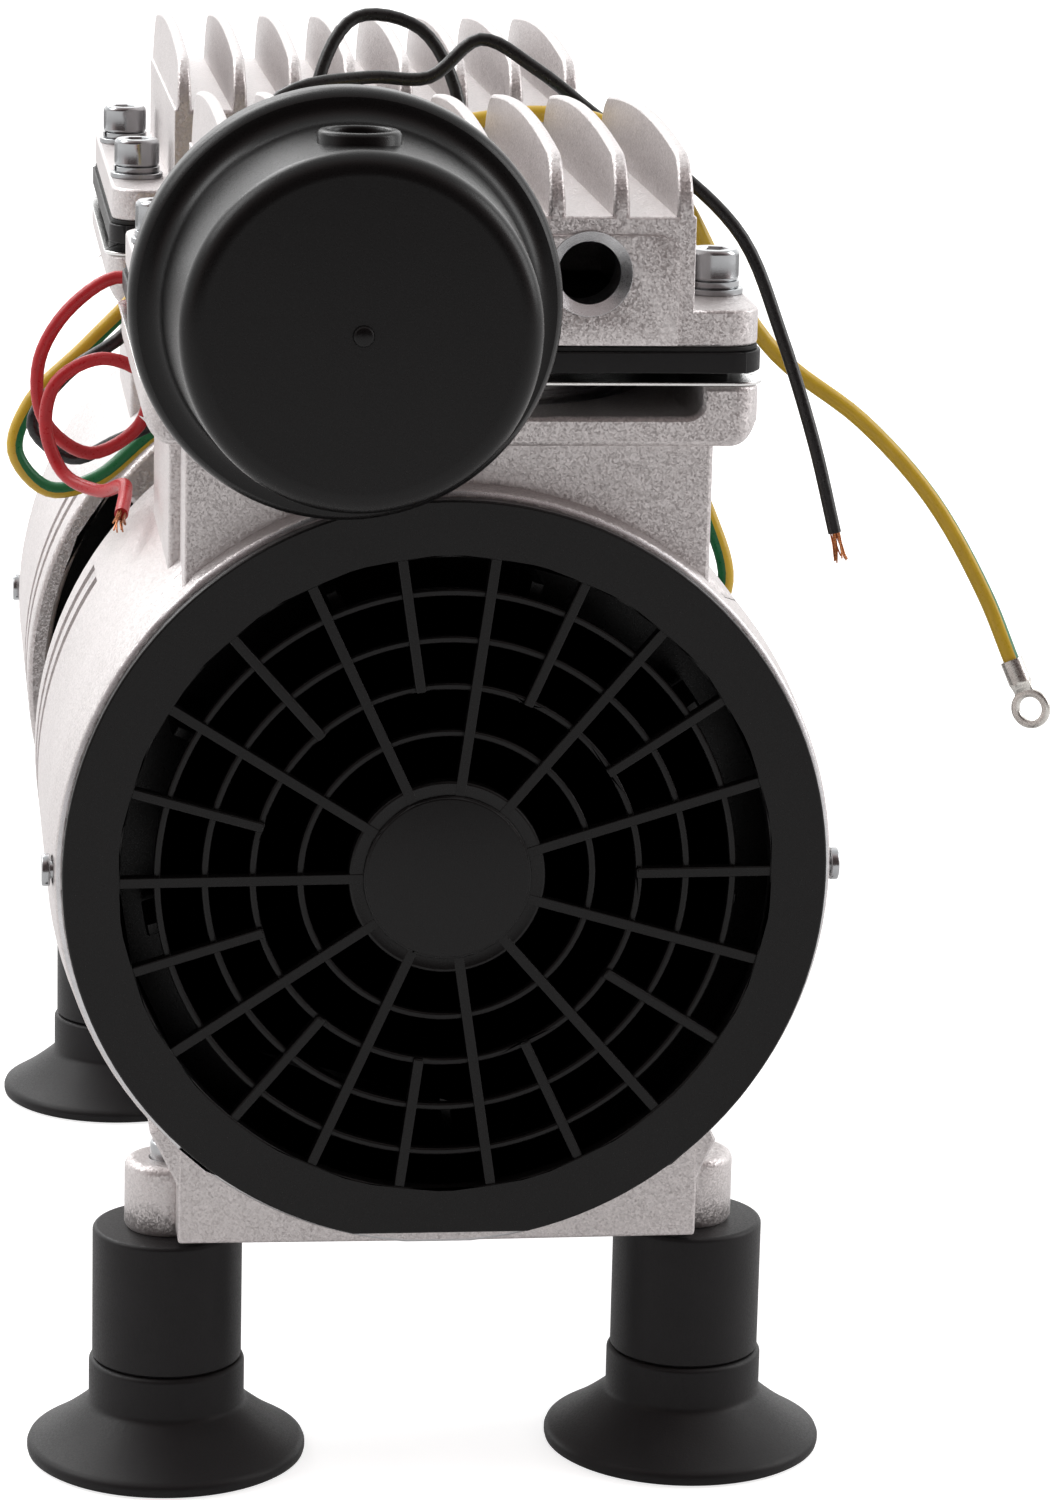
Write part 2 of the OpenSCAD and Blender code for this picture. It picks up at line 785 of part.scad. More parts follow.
// The clamped root of a reed with its screw, under the plate or on top of it
module reed_clamp(x, z, head_from) {
    reed_screw_y = reed_pivot_y + reed_root / 2;
    translate([x, reed_screw_y, z]) linear_extrude(reed_t) square([reed_w, reed_root], center = true);
    translate([x, reed_screw_y, plate_z - reed_t]) cylinder(d = reed_screw_d, h = plate_t + 2 * reed_t);
    translate([x, reed_screw_y, head_from]) cylinder(d = reed_screw_head_d, h = reed_screw_head_t);
}

module valve_plate() {
    color([0.13, 0.13, 0.13]) difference() {
        union() {
            translate([0, -bank, plate_z]) slab(plate_w, plate_len, plate_t, plate_corner_r);
            at_head_screws() translate([0, 0, plate_z - plate_gap])
                cylinder(d = plate_boss_d, h = plate_gap + over);
        }
        at_head_screws() translate([0, 0, plate_z - plate_gap - over])
            cylinder(d = screw_hole_d, h = plate_gap + plate_t + 2 * over);
        for (sx = [-1, 1]) translate([0, 0, plate_z - over]) valve_holes(sx * valve_x, plate_t + 2 * over);
    }
    color("silver") {
        reed_clamp(valve_x, plate_z - reed_t, plate_z - reed_t - reed_screw_head_t);
        reed_clamp(-valve_x, plate_z + plate_t, plate_z + plate_t + reed_t);
    }
}

module front_valve_plate() {
    valve_plate();
}

module rear_valve_plate() {
    mirror([0, 1, 0]) valve_plate();
}

// The free blade of a reed, flat on the valve plate in front of its clamped root
module reed(x, z) {
    color("lightsteelblue") translate([x, reed_pivot_y - reed_slit - reed_blade / 2, z])
        slab(reed_w, reed_blade, reed_t, reed_w / 4);
}

module front_intake_reed() {
    reed(valve_x, plate_z - reed_t);
}

module front_exhaust_reed() {
    reed(-valve_x, plate_z + plate_t);
}

module rear_intake_reed() {
    mirror([0, 1, 0]) reed(valve_x, plate_z - reed_t);
}

module rear_exhaust_reed() {
    mirror([0, 1, 0]) reed(-valve_x, plate_z + plate_t);
}

// The two hollows of a head, for intake and exhaust
module chambers(h) {
    chamber_w = chamber_x - chamber_mid_wall / 2;
    for (sx = [-1, 1]) translate([sx * (chamber_mid_wall + chamber_w) / 2, -bank, 0])
        linear_extrude(h) square([chamber_w, chamber_len], center = true);
}

module head_gaskets() {
    color("black") both_banks() difference() {
        translate([0, -bank, plate_z + plate_t]) slab(head_w, head_len, gasket_t, head_corner_r);
        translate([0, 0, plate_z + plate_t - over]) chambers(gasket_t + 2 * over);
        at_head_screws() translate([0, 0, plate_z + plate_t - over])
            cylinder(d = screw_hole_d, h = gasket_t + 2 * over);
    }
}

// Side view of a fin: an arched top with round corners over the length of the head
module fin_side() {
    half = head_len / 2;
    arch_r = (half * half + fin_crown * fin_crown) / (2 * fin_crown);
    flat = half - fin_corner_r;
    shoulder = fin_h - arch_r + sqrt(arch_r * arch_r - flat * flat) - fin_corner_r;
    intersection() {
        translate([0, fin_h - arch_r]) circle(r = arch_r, $fn = 720);
        union() {
            translate([-flat, -over]) square([2 * flat, fin_h + over]);
            translate([-half, -over]) square([head_len, shoulder + over]);
            for (sx = [-1, 1]) translate([sx * flat, shoulder]) circle(r = fin_corner_r);
        }
    }
}

module fins() {
    intersection() {
        translate([0, head_len / 2, 0]) rotate([90, 0, 0]) linear_extrude(head_len)
            for (i = [0 : fin_count - 1]) translate([(i - (fin_count - 1) / 2) * fin_step, 0]) polygon([
                [-fin_root_t / 2, -over], [fin_root_t / 2, -over],
                [fin_tip_t / 2, fin_h], [-fin_tip_t / 2, fin_h]
            ]);
        translate([-block_w / 2, 0, 0]) rotate([90, 0, 90]) linear_extrude(block_w) fin_side();
    }
}

module head(outer_ports) {
    color("gainsboro") difference() {
        union() {
            translate([0, -bank, head_z]) slab(head_w, head_len, head_flange_t, head_corner_r);
            translate([-block_w / 2, -bank - head_len / 2, head_z]) cube([block_w, head_len, block_h]);
            translate([0, -bank, head_z + block_h]) fins();
            for (side = [-1, 1]) at_port(side) translate([0, 0, -over])
                slab(pad_w, pad_h, pad_t + over, pad_r);
        }
        translate([0, 0, head_z - over]) chambers(chamber_h + over);
        at_head_screws() translate([0, 0, head_z - over])
            cylinder(d = screw_hole_d, h = head_flange_t + 2 * over);
        for (side = [-1, 1]) {
            if (outer_ports) at_port(side) {
                translate([0, 0, -port_len - over]) cylinder(d = port_d, h = port_len + pad_t + 2 * over);
                translate([0, 0, pad_t - chamfer])
                    cylinder(d1 = port_d, d2 = port_d + 2 * (chamfer + over), h = chamfer + over);
            }
            translate([side * port_pitch / 2, head_len / 2 - bank + over, port_z]) rotate([90, 0, 0])
                cylinder(d = tube_d + 2 * fit, h = port_len + 2 * over);
            translate([side * port_pitch / 2, head_len / 2 - bank - seal_in, port_z]) rotate([90, 0, 0])
                cylinder(d = tube_d + 2 * seal_t + 2 * fit, h = seal_t + 2 * fit);
        }
    }
}

module front_head() {
    head(true);
}

module rear_head() {
    mirror([0, 1, 0]) head(false);
}

module head_screw() {
    under_z = head_z + head_flange_t + flat_washer_t + lock_washer_t;
    translate([0, 0, under_z]) difference() {
        cylinder(d = screw_head_d, h = screw_head_h);
        translate([0, 0, screw_head_h - socket_depth])
            cylinder(d = socket_d, h = socket_depth + over, $fn = 6);
    }
    translate([0, 0, deck_z - screw_in_deck])
        cylinder(d = screw_d, h = under_z - deck_z + screw_in_deck + over);
}

module head_screws() {
    color("silver") both_banks() at_head_screws() head_screw();
}

module washer(d, t) {
    difference() {
        cylinder(d = d, h = t);
        translate([0, 0, -over]) cylinder(d = screw_d + 2 * free, h = t + 2 * over);
    }
}

module head_washers() {
    color("lightsteelblue") both_banks() at_head_screws() translate([0, 0, head_z + head_flange_t]) {
        washer(flat_washer_d, flat_washer_t);
        translate([0, 0, flat_washer_t]) difference() {
            washer(lock_washer_d, lock_washer_t);
            translate([0, -lock_washer_slot / 2, -over])
                cube([lock_washer_d, lock_washer_slot, lock_washer_t + 2 * over]);
        }
    }
}

module manifold_tubes() {
    span = cylinder_pitch - head_len + 2 * tube_in;
    color("silver") for (side = [-1, 1]) translate([side * port_pitch / 2, span / 2, port_z])
        rotate([90, 0, 0]) difference() {
            cylinder(d = tube_d, h = span);
            translate([0, 0, -over]) cylinder(d = tube_bore_d, h = span + 2 * over);
        }
}

// Silencer, turned on the axis of the left port of the front head

module silencer_nipple() {
    color("silver") at_port(-1) difference() {
        union() {
            translate([0, 0, -port_len])
                cylinder(d = port_d - 2 * fit, h = port_len + bowl_gap + silencer_wall * 3);
            translate([0, 0, pad_t + fit])
                cylinder(d = nipple_hub_d, h = bowl_gap - 2 * fit - pad_t, $fn = 6);
        }
        translate([0, 0, -port_len - over]) cylinder(d = nipple_bore_d, h = port_len + rim_out);
    }
}

module silencer_body() {
    bowl_r = rim_d / 2 - silencer_wall - rim_lip - fit;
    color([0.12, 0.12, 0.12]) at_port(-1) rotate_extrude() polygon([
        [port_d / 2 + fit, bowl_gap], [bowl_r - bowl_taper, bowl_gap], [bowl_r, bowl_gap + bowl_taper],
        [bowl_r, rim_out - silencer_wall - fit], [bowl_r - silencer_wall, rim_out - silencer_wall - fit],
        [bowl_r - silencer_wall, bowl_gap + bowl_taper + silencer_wall],
        [bowl_r - bowl_taper - silencer_wall, bowl_gap + silencer_wall],
        [nipple_hub_d / 2, bowl_gap + silencer_wall], [nipple_hub_d / 2, bowl_gap + silencer_wall * 3],
        [port_d / 2 + fit, bowl_gap + silencer_wall * 3]
    ]);
}

// Points of a quarter round about a centre, between two angles
function arc_points(c, r, from_a, to_a, n = 8) =
    [for (i = [0 : n]) let (a = from_a + (to_a - from_a) * i / n) [c[0] + r * cos(a), c[1] + r * sin(a)]];

module lid_outline() {
    root_r = cup_root_d / 2;
    front_r = cup_front_d / 2;
    end = rim_out + cup_len;
    polygon(concat(
        [[0, end - silencer_wall], [0, end]],
        arc_points([front_r - cup_edge, end - cup_edge], cup_edge, 90, 0),
        arc_points([root_r + rim_fillet, rim_out + rim_fillet], rim_fillet, 180, 270),
        [
            [rim_d / 2 - rim_lip, rim_out], [rim_d / 2, rim_out - rim_lip],
            [rim_d / 2, rim_out - rim_t], [rim_d / 2 - rim_lip - silencer_wall, rim_out - rim_t],
            [rim_d / 2 - rim_lip - silencer_wall, rim_out - silencer_wall],
            [root_r - silencer_wall, rim_out - silencer_wall],
            [front_r - silencer_wall, end - cup_edge], [front_r - cup_edge, end - silencer_wall]
        ]
    ));
}

module silencer_lid() {
    color([0.12, 0.12, 0.12]) at_port(-1) difference() {
        union() {
            rotate_extrude() lid_outline();
            translate([0, 0, rim_out + cup_len - over]) cylinder(d = nub_d, h = nub_h + over);
            translate([0, 0, rim_out + nozzle_back]) rotate([-90, 0, 0])
                translate([0, 0, cup_front_d / 2 - nozzle_root_in])
                    cylinder(d = nozzle_d, h = nozzle_up - cup_front_d / 2 + nozzle_root_in);
        }
        translate([0, 0, rim_out + nozzle_back]) rotate([-90, 0, 0]) translate([0, 0, cup_front_d / 4])
            cylinder(d = nozzle_bore_d, h = nozzle_up);
    }
}

module silencer_foam() {
    foam_r = cup_front_d / 2 - silencer_wall - foam_gap;
    color("dimgray") at_port(-1) difference() {
        translate([0, 0, bowl_gap + silencer_wall * 3 + foam_gap])
            cylinder(r = foam_r, h = rim_out - silencer_wall * 3 - bowl_gap - 2 * foam_gap);
        translate([0, 0, bowl_gap]) cylinder(d = foam_bore_d, h = rim_out);
    }
}

// Feet

module foot_buffers() {
    color([0.2, 0.2, 0.2]) at_feet() difference() {
        union() {
            translate([0, 0, skirt_h + collar_h]) cylinder(d = buffer_d, h = foot_h - skirt_h - collar_h);
            translate([0, 0, plug_z]) cylinder(d = plug_d, h = foot_h - plug_z);
        }
        translate([0, 0, foot_h - stud_in]) cylinder(d = stud_d + 2 * fit, h = stud_in + over);
    }
}

module foot_studs() {
    color("silver") at_feet() translate([0, 0, foot_h - stud_in + fit])
        cylinder(d = stud_d, h = stud_in + boss_h + stud_up);
}

// Outline of a cup: a flared skirt with a hollow underneath and a socket on top
module cup_outline() {
    collar_r = collar_d / 2;
    edge_r = cup_d / 2;
    flare = edge_r - collar_r;
    polygon(concat(
        [[0, cup_hollow_h], [cup_roof_d / 2, cup_hollow_h]],
        arc_points([edge_r, skirt_h], flare + cup_wall, 210, 258),
        [[edge_r - cup_edge_t, 0], [edge_r, 0], [edge_r, cup_edge_t]],
        arc_points([edge_r, skirt_h], flare, 262, 180),
        [
            [collar_r, skirt_h + collar_h], [plug_d / 2 + fit, skirt_h + collar_h],
            [plug_d / 2 + fit, plug_z], [0, plug_z]
        ]
    ));
}

module cup(sx, sy) {
    color([0.2, 0.2, 0.2]) translate([sx * foot_pitch_x / 2, sy * foot_pitch_y / 2, 0])
        rotate_extrude() cup_outline();
}

module front_left_cup() {
    cup(-1, -1);
}

module front_right_cup() {
    cup(1, -1);
}

module rear_left_cup() {
    cup(-1, 1);
}

module rear_right_cup() {
    cup(1, 1);
}

// Rotating group

module shaft() {
    color("silver") difference() {
        union() {
            drum(shaft_d / 2, -hub_in - bearing_w, hub_in + bearing_w);
            drum(shaft_end_d / 2, -shaft_tip, shaft_tip);
        }
        for (s = [-1, 1])
            translate([-shaft_end_d / 2, s * shaft_tip - shaft_flat_len, axis_z + shaft_flat_h])
                cube([shaft_end_d, 2 * shaft_flat_len, shaft_end_d]);
    }
}

module rotor_core() {
    half = rotor_len / 2;
    seat_r = shaft_d / 2 + fit;
    color("dimgray") hoop(rotor_d / 2, seat_r, end_ring_t - half, half - end_ring_t);
    color("silver") {
        hoop(rotor_d / 2 - free, seat_r, half - end_ring_t - fit, half);
        hoop(rotor_d / 2 - free, seat_r, -half, end_ring_t - half + fit);
    }
}

// The inner rings of one bank's main bearing and rod bearing
module inner_rings(side) {
    hoop(shaft_d / 2 + fit + inner_race_t, shaft_d / 2 + fit, hub_in, hub_in + bearing_w);
    translate([0, 0, side * crank_throw]) hoop(eccentric_d / 2 + fit + inner_ring_t,
        eccentric_d / 2 + fit, bank - rod_ring_w / 2, bank + rod_ring_w / 2);
}

module bearing_inner_rings() {
    color("silver") {
        inner_rings(1);
        mirror([0, 1, 0]) inner_rings(-1);
    }
}

// Bank: 1 is the front one, whose crank points up at rest, and -1 the rear one
module eccentric(side) {
    color("gray") difference() {
        union() {
            translate([0, 0, side * crank_throw])
                drum(eccentric_d / 2, bank - crank_w / 2 - weight_gap, bank + crank_w / 2);
            drum(weight_hub_r, weight_in, bank - crank_w / 2 - weight_gap + fit);
            intersection() {
                drum(weight_r, weight_in, weight_in + weight_t);
                translate([-weight_r, -mouth, axis_z - (side + 1) / 2 * weight_r])
                    cube([2 * weight_r, mouth, weight_r]);
            }
        }
        drum(shaft_end_d / 2 + fit, weight_in - over, bank + crank_w);
        translate([0, -weight_mid, axis_z]) rotate([0, 90 + side * 90, 0])
            cylinder(d = set_screw_d + 2 * fit, h = weight_r + over);
    }
}

module set_screw(side) {
    translate([0, -weight_mid, axis_z]) rotate([0, 90 + side * 90, 0])
        translate([0, 0, shaft_end_d / 2 + free]) cylinder(d = set_screw_d, h = set_screw_len);
}

module eccentric_set_screws() {
    color("dimgray") {
        set_screw(1);
        mirror([0, 1, 0]) set_screw(-1);
    }
}

module front_eccentric() {
    eccentric(1);
}

module rear_eccentric() {
    mirror([0, 1, 0]) eccentric(-1);
}

module fan() {
    color([0.1, 0.1, 0.1]) difference() {
        union() {
            drum(fan_hub_r, fan_in, fan_out);
            drum(fan_disc_share * fan_d / 2, fan_in, fan_in + fan_plate_t);
            intersection() {
                translate([0, -fan_in, axis_z]) rotate([90, 0, 0]) for (i = [0 : fan_blades - 1])
                    rotate((i + 1 / 3) * 360 / fan_blades)
                        translate([fan_blade_root_r, 0, 0]) rotate(fan_blade_lean)
                            translate([0, -fan_blade_t / 2, 0])
                                cube([fan_d / 2, fan_blade_t, fan_out - fan_in]);
                drum(fan_d / 2, fan_in, fan_out);
            }
        }
        drum(shaft_end_d / 2 + fit, fan_in - over, fan_out + over);
    }
}

module front_fan() {
    fan();
}

module rear_fan() {
    mirror([0, 1, 0]) fan();
}

// Reciprocating groups

module rod_rollers(side) {
    color("silver") translate([0, -bank, axis_z + side * crank_throw]) {
        for (i = [0 : roller_count - 1]) rotate([0, i * 360 / roller_count, 0])
            translate([roller_circle_r, 0, 0]) sphere(r = roller_r);
        rotate([90, 0, 0]) difference() {
            cylinder(r = roller_circle_r + cage_t / 2, h = cage_w / 2, center = true);
            cylinder(r = roller_circle_r - cage_t / 2, h = cage_w, center = true);
        }
    }
}

module rod(side) {
    big_z = axis_z + side * crank_throw;
    lift = (side - 1) * crank_throw;
    color("darkgray") difference() {
        union() {
            translate([0, 0, side * crank_throw])
                drum(rod_out_r, bank - rod_ring_w / 2, bank + rod_ring_w / 2);
            translate([-rod_web_w / 2, -bank - rod_web_t / 2, big_z + outer_ring_out_r + fit])
                cube([rod_web_w, rod_web_t, crown_top_z + lift - big_z - outer_ring_out_r - crown_t / 2]);
            translate([0, -bank, crown_top_z + lift - crown_t]) cylinder(r = crown_r, h = crown_t);
        }
        translate([0, 0, side * crank_throw])
            drum(outer_ring_out_r + fit, bank - rod_ring_w, bank + rod_ring_w);
        translate([0, -bank, crown_top_z + lift - piston_screw_in])
            cylinder(d = piston_screw_d + 2 * fit, h = piston_screw_in + over);
    }
}

module rod_ring(side) {
    color("silver") translate([0, 0, side * crank_throw])
        hoop(outer_ring_out_r, outer_ring_in_r, bank - rod_ring_w / 2, bank + rod_ring_w / 2);
}

module piston_seal(side) {
    lift = (side - 1) * crank_throw;
    seal_r = bore_r - free;
    color("tan") translate([0, -bank, seal_z + lift]) rotate_extrude() polygon([
        [piston_screw_d / 2 + fit, 0], [seal_r, 0], [seal_r, seal_disc_t + seal_lip_h],
        [seal_r - seal_lip_t, seal_disc_t + seal_lip_h], [seal_r - seal_lip_t, seal_disc_t],
        [piston_screw_d / 2 + fit, seal_disc_t]
    ]);
}

module piston_clamp(side) {
    lift = (side - 1) * crank_throw;
    color("lightgray") translate([0, -bank, seal_z + seal_disc_t + lift]) {
        cylinder(r = clamp_r, h = clamp_t);
        translate([0, 0, clamp_t]) cylinder(d = piston_screw_head_d, h = piston_screw_head_h);
        translate([0, 0, fit - seal_disc_t - piston_screw_in])
            cylinder(d = piston_screw_d, h = seal_disc_t + piston_screw_in);
    }
}

module front_rod_rollers() {
    rod_rollers(1);
}

module rear_rod_rollers() {
    mirror([0, 1, 0]) rod_rollers(-1);
}

module front_rod() {
    rod(1);
}

module rear_rod() {
    mirror([0, 1, 0]) rod(-1);
}

module front_rod_ring() {
    rod_ring(1);
}

module rear_rod_ring() {
    mirror([0, 1, 0]) rod_ring(-1);
}

module front_piston_seal() {
    piston_seal(1);
}

module rear_piston_seal() {
    mirror([0, 1, 0]) piston_seal(-1);
}

module front_piston_clamp() {
    piston_clamp(1);
}

module rear_piston_clamp() {
    mirror([0, 1, 0]) piston_clamp(-1);
}

// Leads

function unit(v) = v / norm(v);

// Direction of a route at one of its points
function heading(p, i) = unit(p[min(i + 1, len(p) - 1)] - p[max(i - 1, 0)]);

// Side directions along a route, each turned as little as possible from the one before
function side_dirs(p, i = 0, last = [0, 1, 0]) = i == len(p) ? [] :
    let (t = heading(p, i), s = unit(last - (last * t) * t)) concat([s], side_dirs(p, i + 1, s));

// Points of one ring of a tube, round a point of its route
function ring_points(p, s, i, r, sides) = let (t = heading(p, i), u = cross(t, s[i]))
    [for (k = [0 : sides - 1]) let (a = k * 360 / sides) p[i] + r * (cos(a) * s[i] + sin(a) * u)];

// The two triangles of a tube's wall between two rings, on one of its sides
function wall_pair(i, k, sides) = let (a = i * sides + k, b = i * sides + (k + 1) % sides)
    [[a, b + sides, b], [a, a + sides, b + sides]];

// A tube of eight sides that follows the points of a route
module tube(p, d) {
    sides = 8;
    last = (len(p) - 1) * sides;
    s = side_dirs(p);
    rings = [for (i = [0 : len(p) - 1]) each ring_points(p, s, i, d / 2, sides)];
    walls = [for (i = [0 : len(p) - 2]) for (k = [0 : sides - 1]) each wall_pair(i, k, sides)];
    ends = [for (k = [1 : sides - 2]) each [[0, k, k + 1], [last, last + k + 1, last + k]]];
    polyhedron(points = rings, faces = concat(walls, ends), convexity = 6);
}

// A frame at the last point of a route, its Z axis along the route's last step
module at_end(p) {
    v = unit(p[len(p) - 1] - p[len(p) - 2]);
    translate(p[len(p) - 1]) rotate([0, acos(v[2]), atan2(v[1], v[0])]) children();
}

module earth_lead() {
    color("gold") tube(earth_route, earth_d);
}

module black_lead() {
    color([0.1, 0.1, 0.1]) tube(black_route, lead_d);
}

module red_lead() {
    color("crimson") tube(red_route, lead_d);
}

module arch_lead() {
    color([0.1, 0.1, 0.1]) tube(arch_route, lead_d);
}

module ring_terminal() {
    color("silver") at_end(earth_route) rotate([0, 0, terminal_turn]) {
        cylinder(d = crimp_d, h = crimp_len);
        translate([-eye_t / 2, -eye_neck_w / 2, crimp_len - over])
            cube([eye_t, eye_neck_w, (eye_d - eye_hole_d) / 2 - free + over]);
        translate([-eye_t / 2, 0, crimp_len + eye_d / 2]) rotate([0, 90, 0]) difference() {
            cylinder(d = eye_d, h = eye_t);
            translate([0, 0, -over]) cylinder(d = eye_hole_d, h = eye_t + 2 * over);
        }
    }
}

module bare_strands() {
    color("peru") for (p = [black_route, red_route]) at_end(p) cylinder(d = strand_d, h = strand_len);
}

front_housing();
rear_housing();
stator_core();
front_winding();
rear_winding();
stator_bolts();
main_bearings();
front_fan_cover();
rear_fan_cover();
fan_cover_screws();
front_cylinder();
rear_cylinder();
seal_rings();
deflector_sheets();
front_valve_plate();
rear_valve_plate();
head_gaskets();
front_head();
rear_head();
head_screws();
head_washers();
manifold_tubes();
silencer_nipple();
silencer_body();
silencer_lid();
silencer_foam();
foot_buffers();
foot_studs();
front_left_cup();
front_right_cup();
rear_left_cup();
rear_right_cup();
shaft();
rotor_core();
front_fan();
rear_fan();
front_eccentric();
rear_eccentric();
bearing_inner_rings();
eccentric_set_screws();
front_rod_rollers();
rear_rod_rollers();
front_rod();
front_rod_ring();
front_piston_seal();
front_piston_clamp();
rear_rod();
rear_rod_ring();
rear_piston_seal();
rear_piston_clamp();
front_intake_reed();
front_exhaust_reed();
rear_intake_reed();
rear_exhaust_reed();
earth_lead();
black_lead();
red_lead();
arch_lead();
ring_terminal();
bare_strands();
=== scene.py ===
import json
import math
import random
import bpy
import bmesh
from mathutils import Matrix, Vector


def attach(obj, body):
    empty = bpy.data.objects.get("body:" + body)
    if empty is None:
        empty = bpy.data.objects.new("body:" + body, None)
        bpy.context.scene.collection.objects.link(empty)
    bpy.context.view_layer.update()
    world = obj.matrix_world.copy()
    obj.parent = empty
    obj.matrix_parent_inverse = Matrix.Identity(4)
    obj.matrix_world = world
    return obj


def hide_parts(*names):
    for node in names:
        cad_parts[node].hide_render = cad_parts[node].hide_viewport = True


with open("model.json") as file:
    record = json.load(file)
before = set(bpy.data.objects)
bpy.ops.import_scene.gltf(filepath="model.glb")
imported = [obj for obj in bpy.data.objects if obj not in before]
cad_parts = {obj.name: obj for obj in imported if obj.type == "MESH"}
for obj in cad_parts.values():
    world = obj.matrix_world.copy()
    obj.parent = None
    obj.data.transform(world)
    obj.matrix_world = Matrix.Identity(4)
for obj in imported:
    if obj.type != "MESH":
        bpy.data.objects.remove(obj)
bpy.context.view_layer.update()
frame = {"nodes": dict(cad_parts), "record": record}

MM = 0.001

# sizes in mm
AXIS_Z = 105.3                  # height of the shaft axis
SHELL_R = 65                    # outside of the housings' round shell
BANK_Y = 72                     # each cylinder's axis, from the middle
NECK_HALF = 43                  # half the photographed neck's width
DECK_SQUEEZE_FROM, DECK_SQUEEZE = 40.4, 0.8276      # the deck's ends drawn in, from 104 to 100 wide
FACE_Y, CUT_FACE_Y = 119.5, 119     # a head's end face with its cast panel, and without it
FLANGE_TOP_Z, FITTED_FLANGE_TOP_Z = 198, 199        # a head's flange, in the source and in the photo
FIN_ARCH_Z = 214.6              # above it a head's vertices belong to the fins' arches
PORT_X, PORT_Z = 21, 204.8      # the front head's two ports
SCREW_X, SCREW_DY = 44.0, 27.3  # a head's screws, about its cylinder's axis
FOOT_X, FOOT_Y = 44.45, 101.6   # half the foot pattern

# sockets of a Mix node for colours
MIX_A, MIX_B, MIX_RESULT = 6, 7, 2

BODY_OF = {n: b for b, ns in frame["record"]["behaviour"]["bodies"].items() for n in ns}
SLOT_OF = {s["node"]: s["material_slot"] for s in frame["record"]["subparts"]}


def add(name, mesh, slot, body="housing", nodes=()):
    """A new piece from a mesh, with its slot's material, riding on a body."""
    ob = bpy.data.objects.new(name, mesh)
    bpy.context.scene.collection.objects.link(ob)
    if not mesh.materials:
        mesh.materials.append(MATS[slot])
    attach(ob, body)
    if nodes:
        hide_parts(*nodes)
    return ob


# ---------------------------------------------------------------- camera

yaw, pitch, roll = (math.radians(a) for a in (7.160, 13.611, 1.385))
fwd = Vector((math.sin(yaw) * math.cos(pitch), math.cos(yaw) * math.cos(pitch), -math.sin(pitch)))
right = Vector((math.cos(yaw), -math.sin(yaw), 0))
up = right.cross(fwd)
cam_x = right * math.cos(roll) + up * math.sin(roll)
cam_y = up * math.cos(roll) - right * math.sin(roll)
camera = bpy.data.objects.new("camera", bpy.data.cameras.new("camera"))
bpy.context.scene.collection.objects.link(camera)
camera.data.sensor_fit = "VERTICAL"
camera.data.sensor_height = 36
camera.data.lens = 120.86
camera.data.clip_end = 50
camera_at = Vector((-86.918, -911.182, 319.894)) * MM
camera.matrix_world = Matrix.Translation(camera_at) @ Matrix((cam_x, cam_y, -fwd)).transposed().to_4x4()
bpy.context.scene.camera = camera

# ---------------------------------------------------------------- materials


def new_material(name):
    m = bpy.data.materials.new(name)
    m.use_nodes = True
    return m, m.node_tree, m.node_tree.nodes["Principled BSDF"]


def node(tree, kind, **values):
    """A new shader node with its properties (small letters) and its input values (From_Min for From Min) set."""
    n = tree.nodes.new("ShaderNode" + kind)
    for k, v in values.items():
        if hasattr(n, k):
            setattr(n, k, v)
        else:
            n.inputs[k.replace("_", " ")].default_value = v
    return n


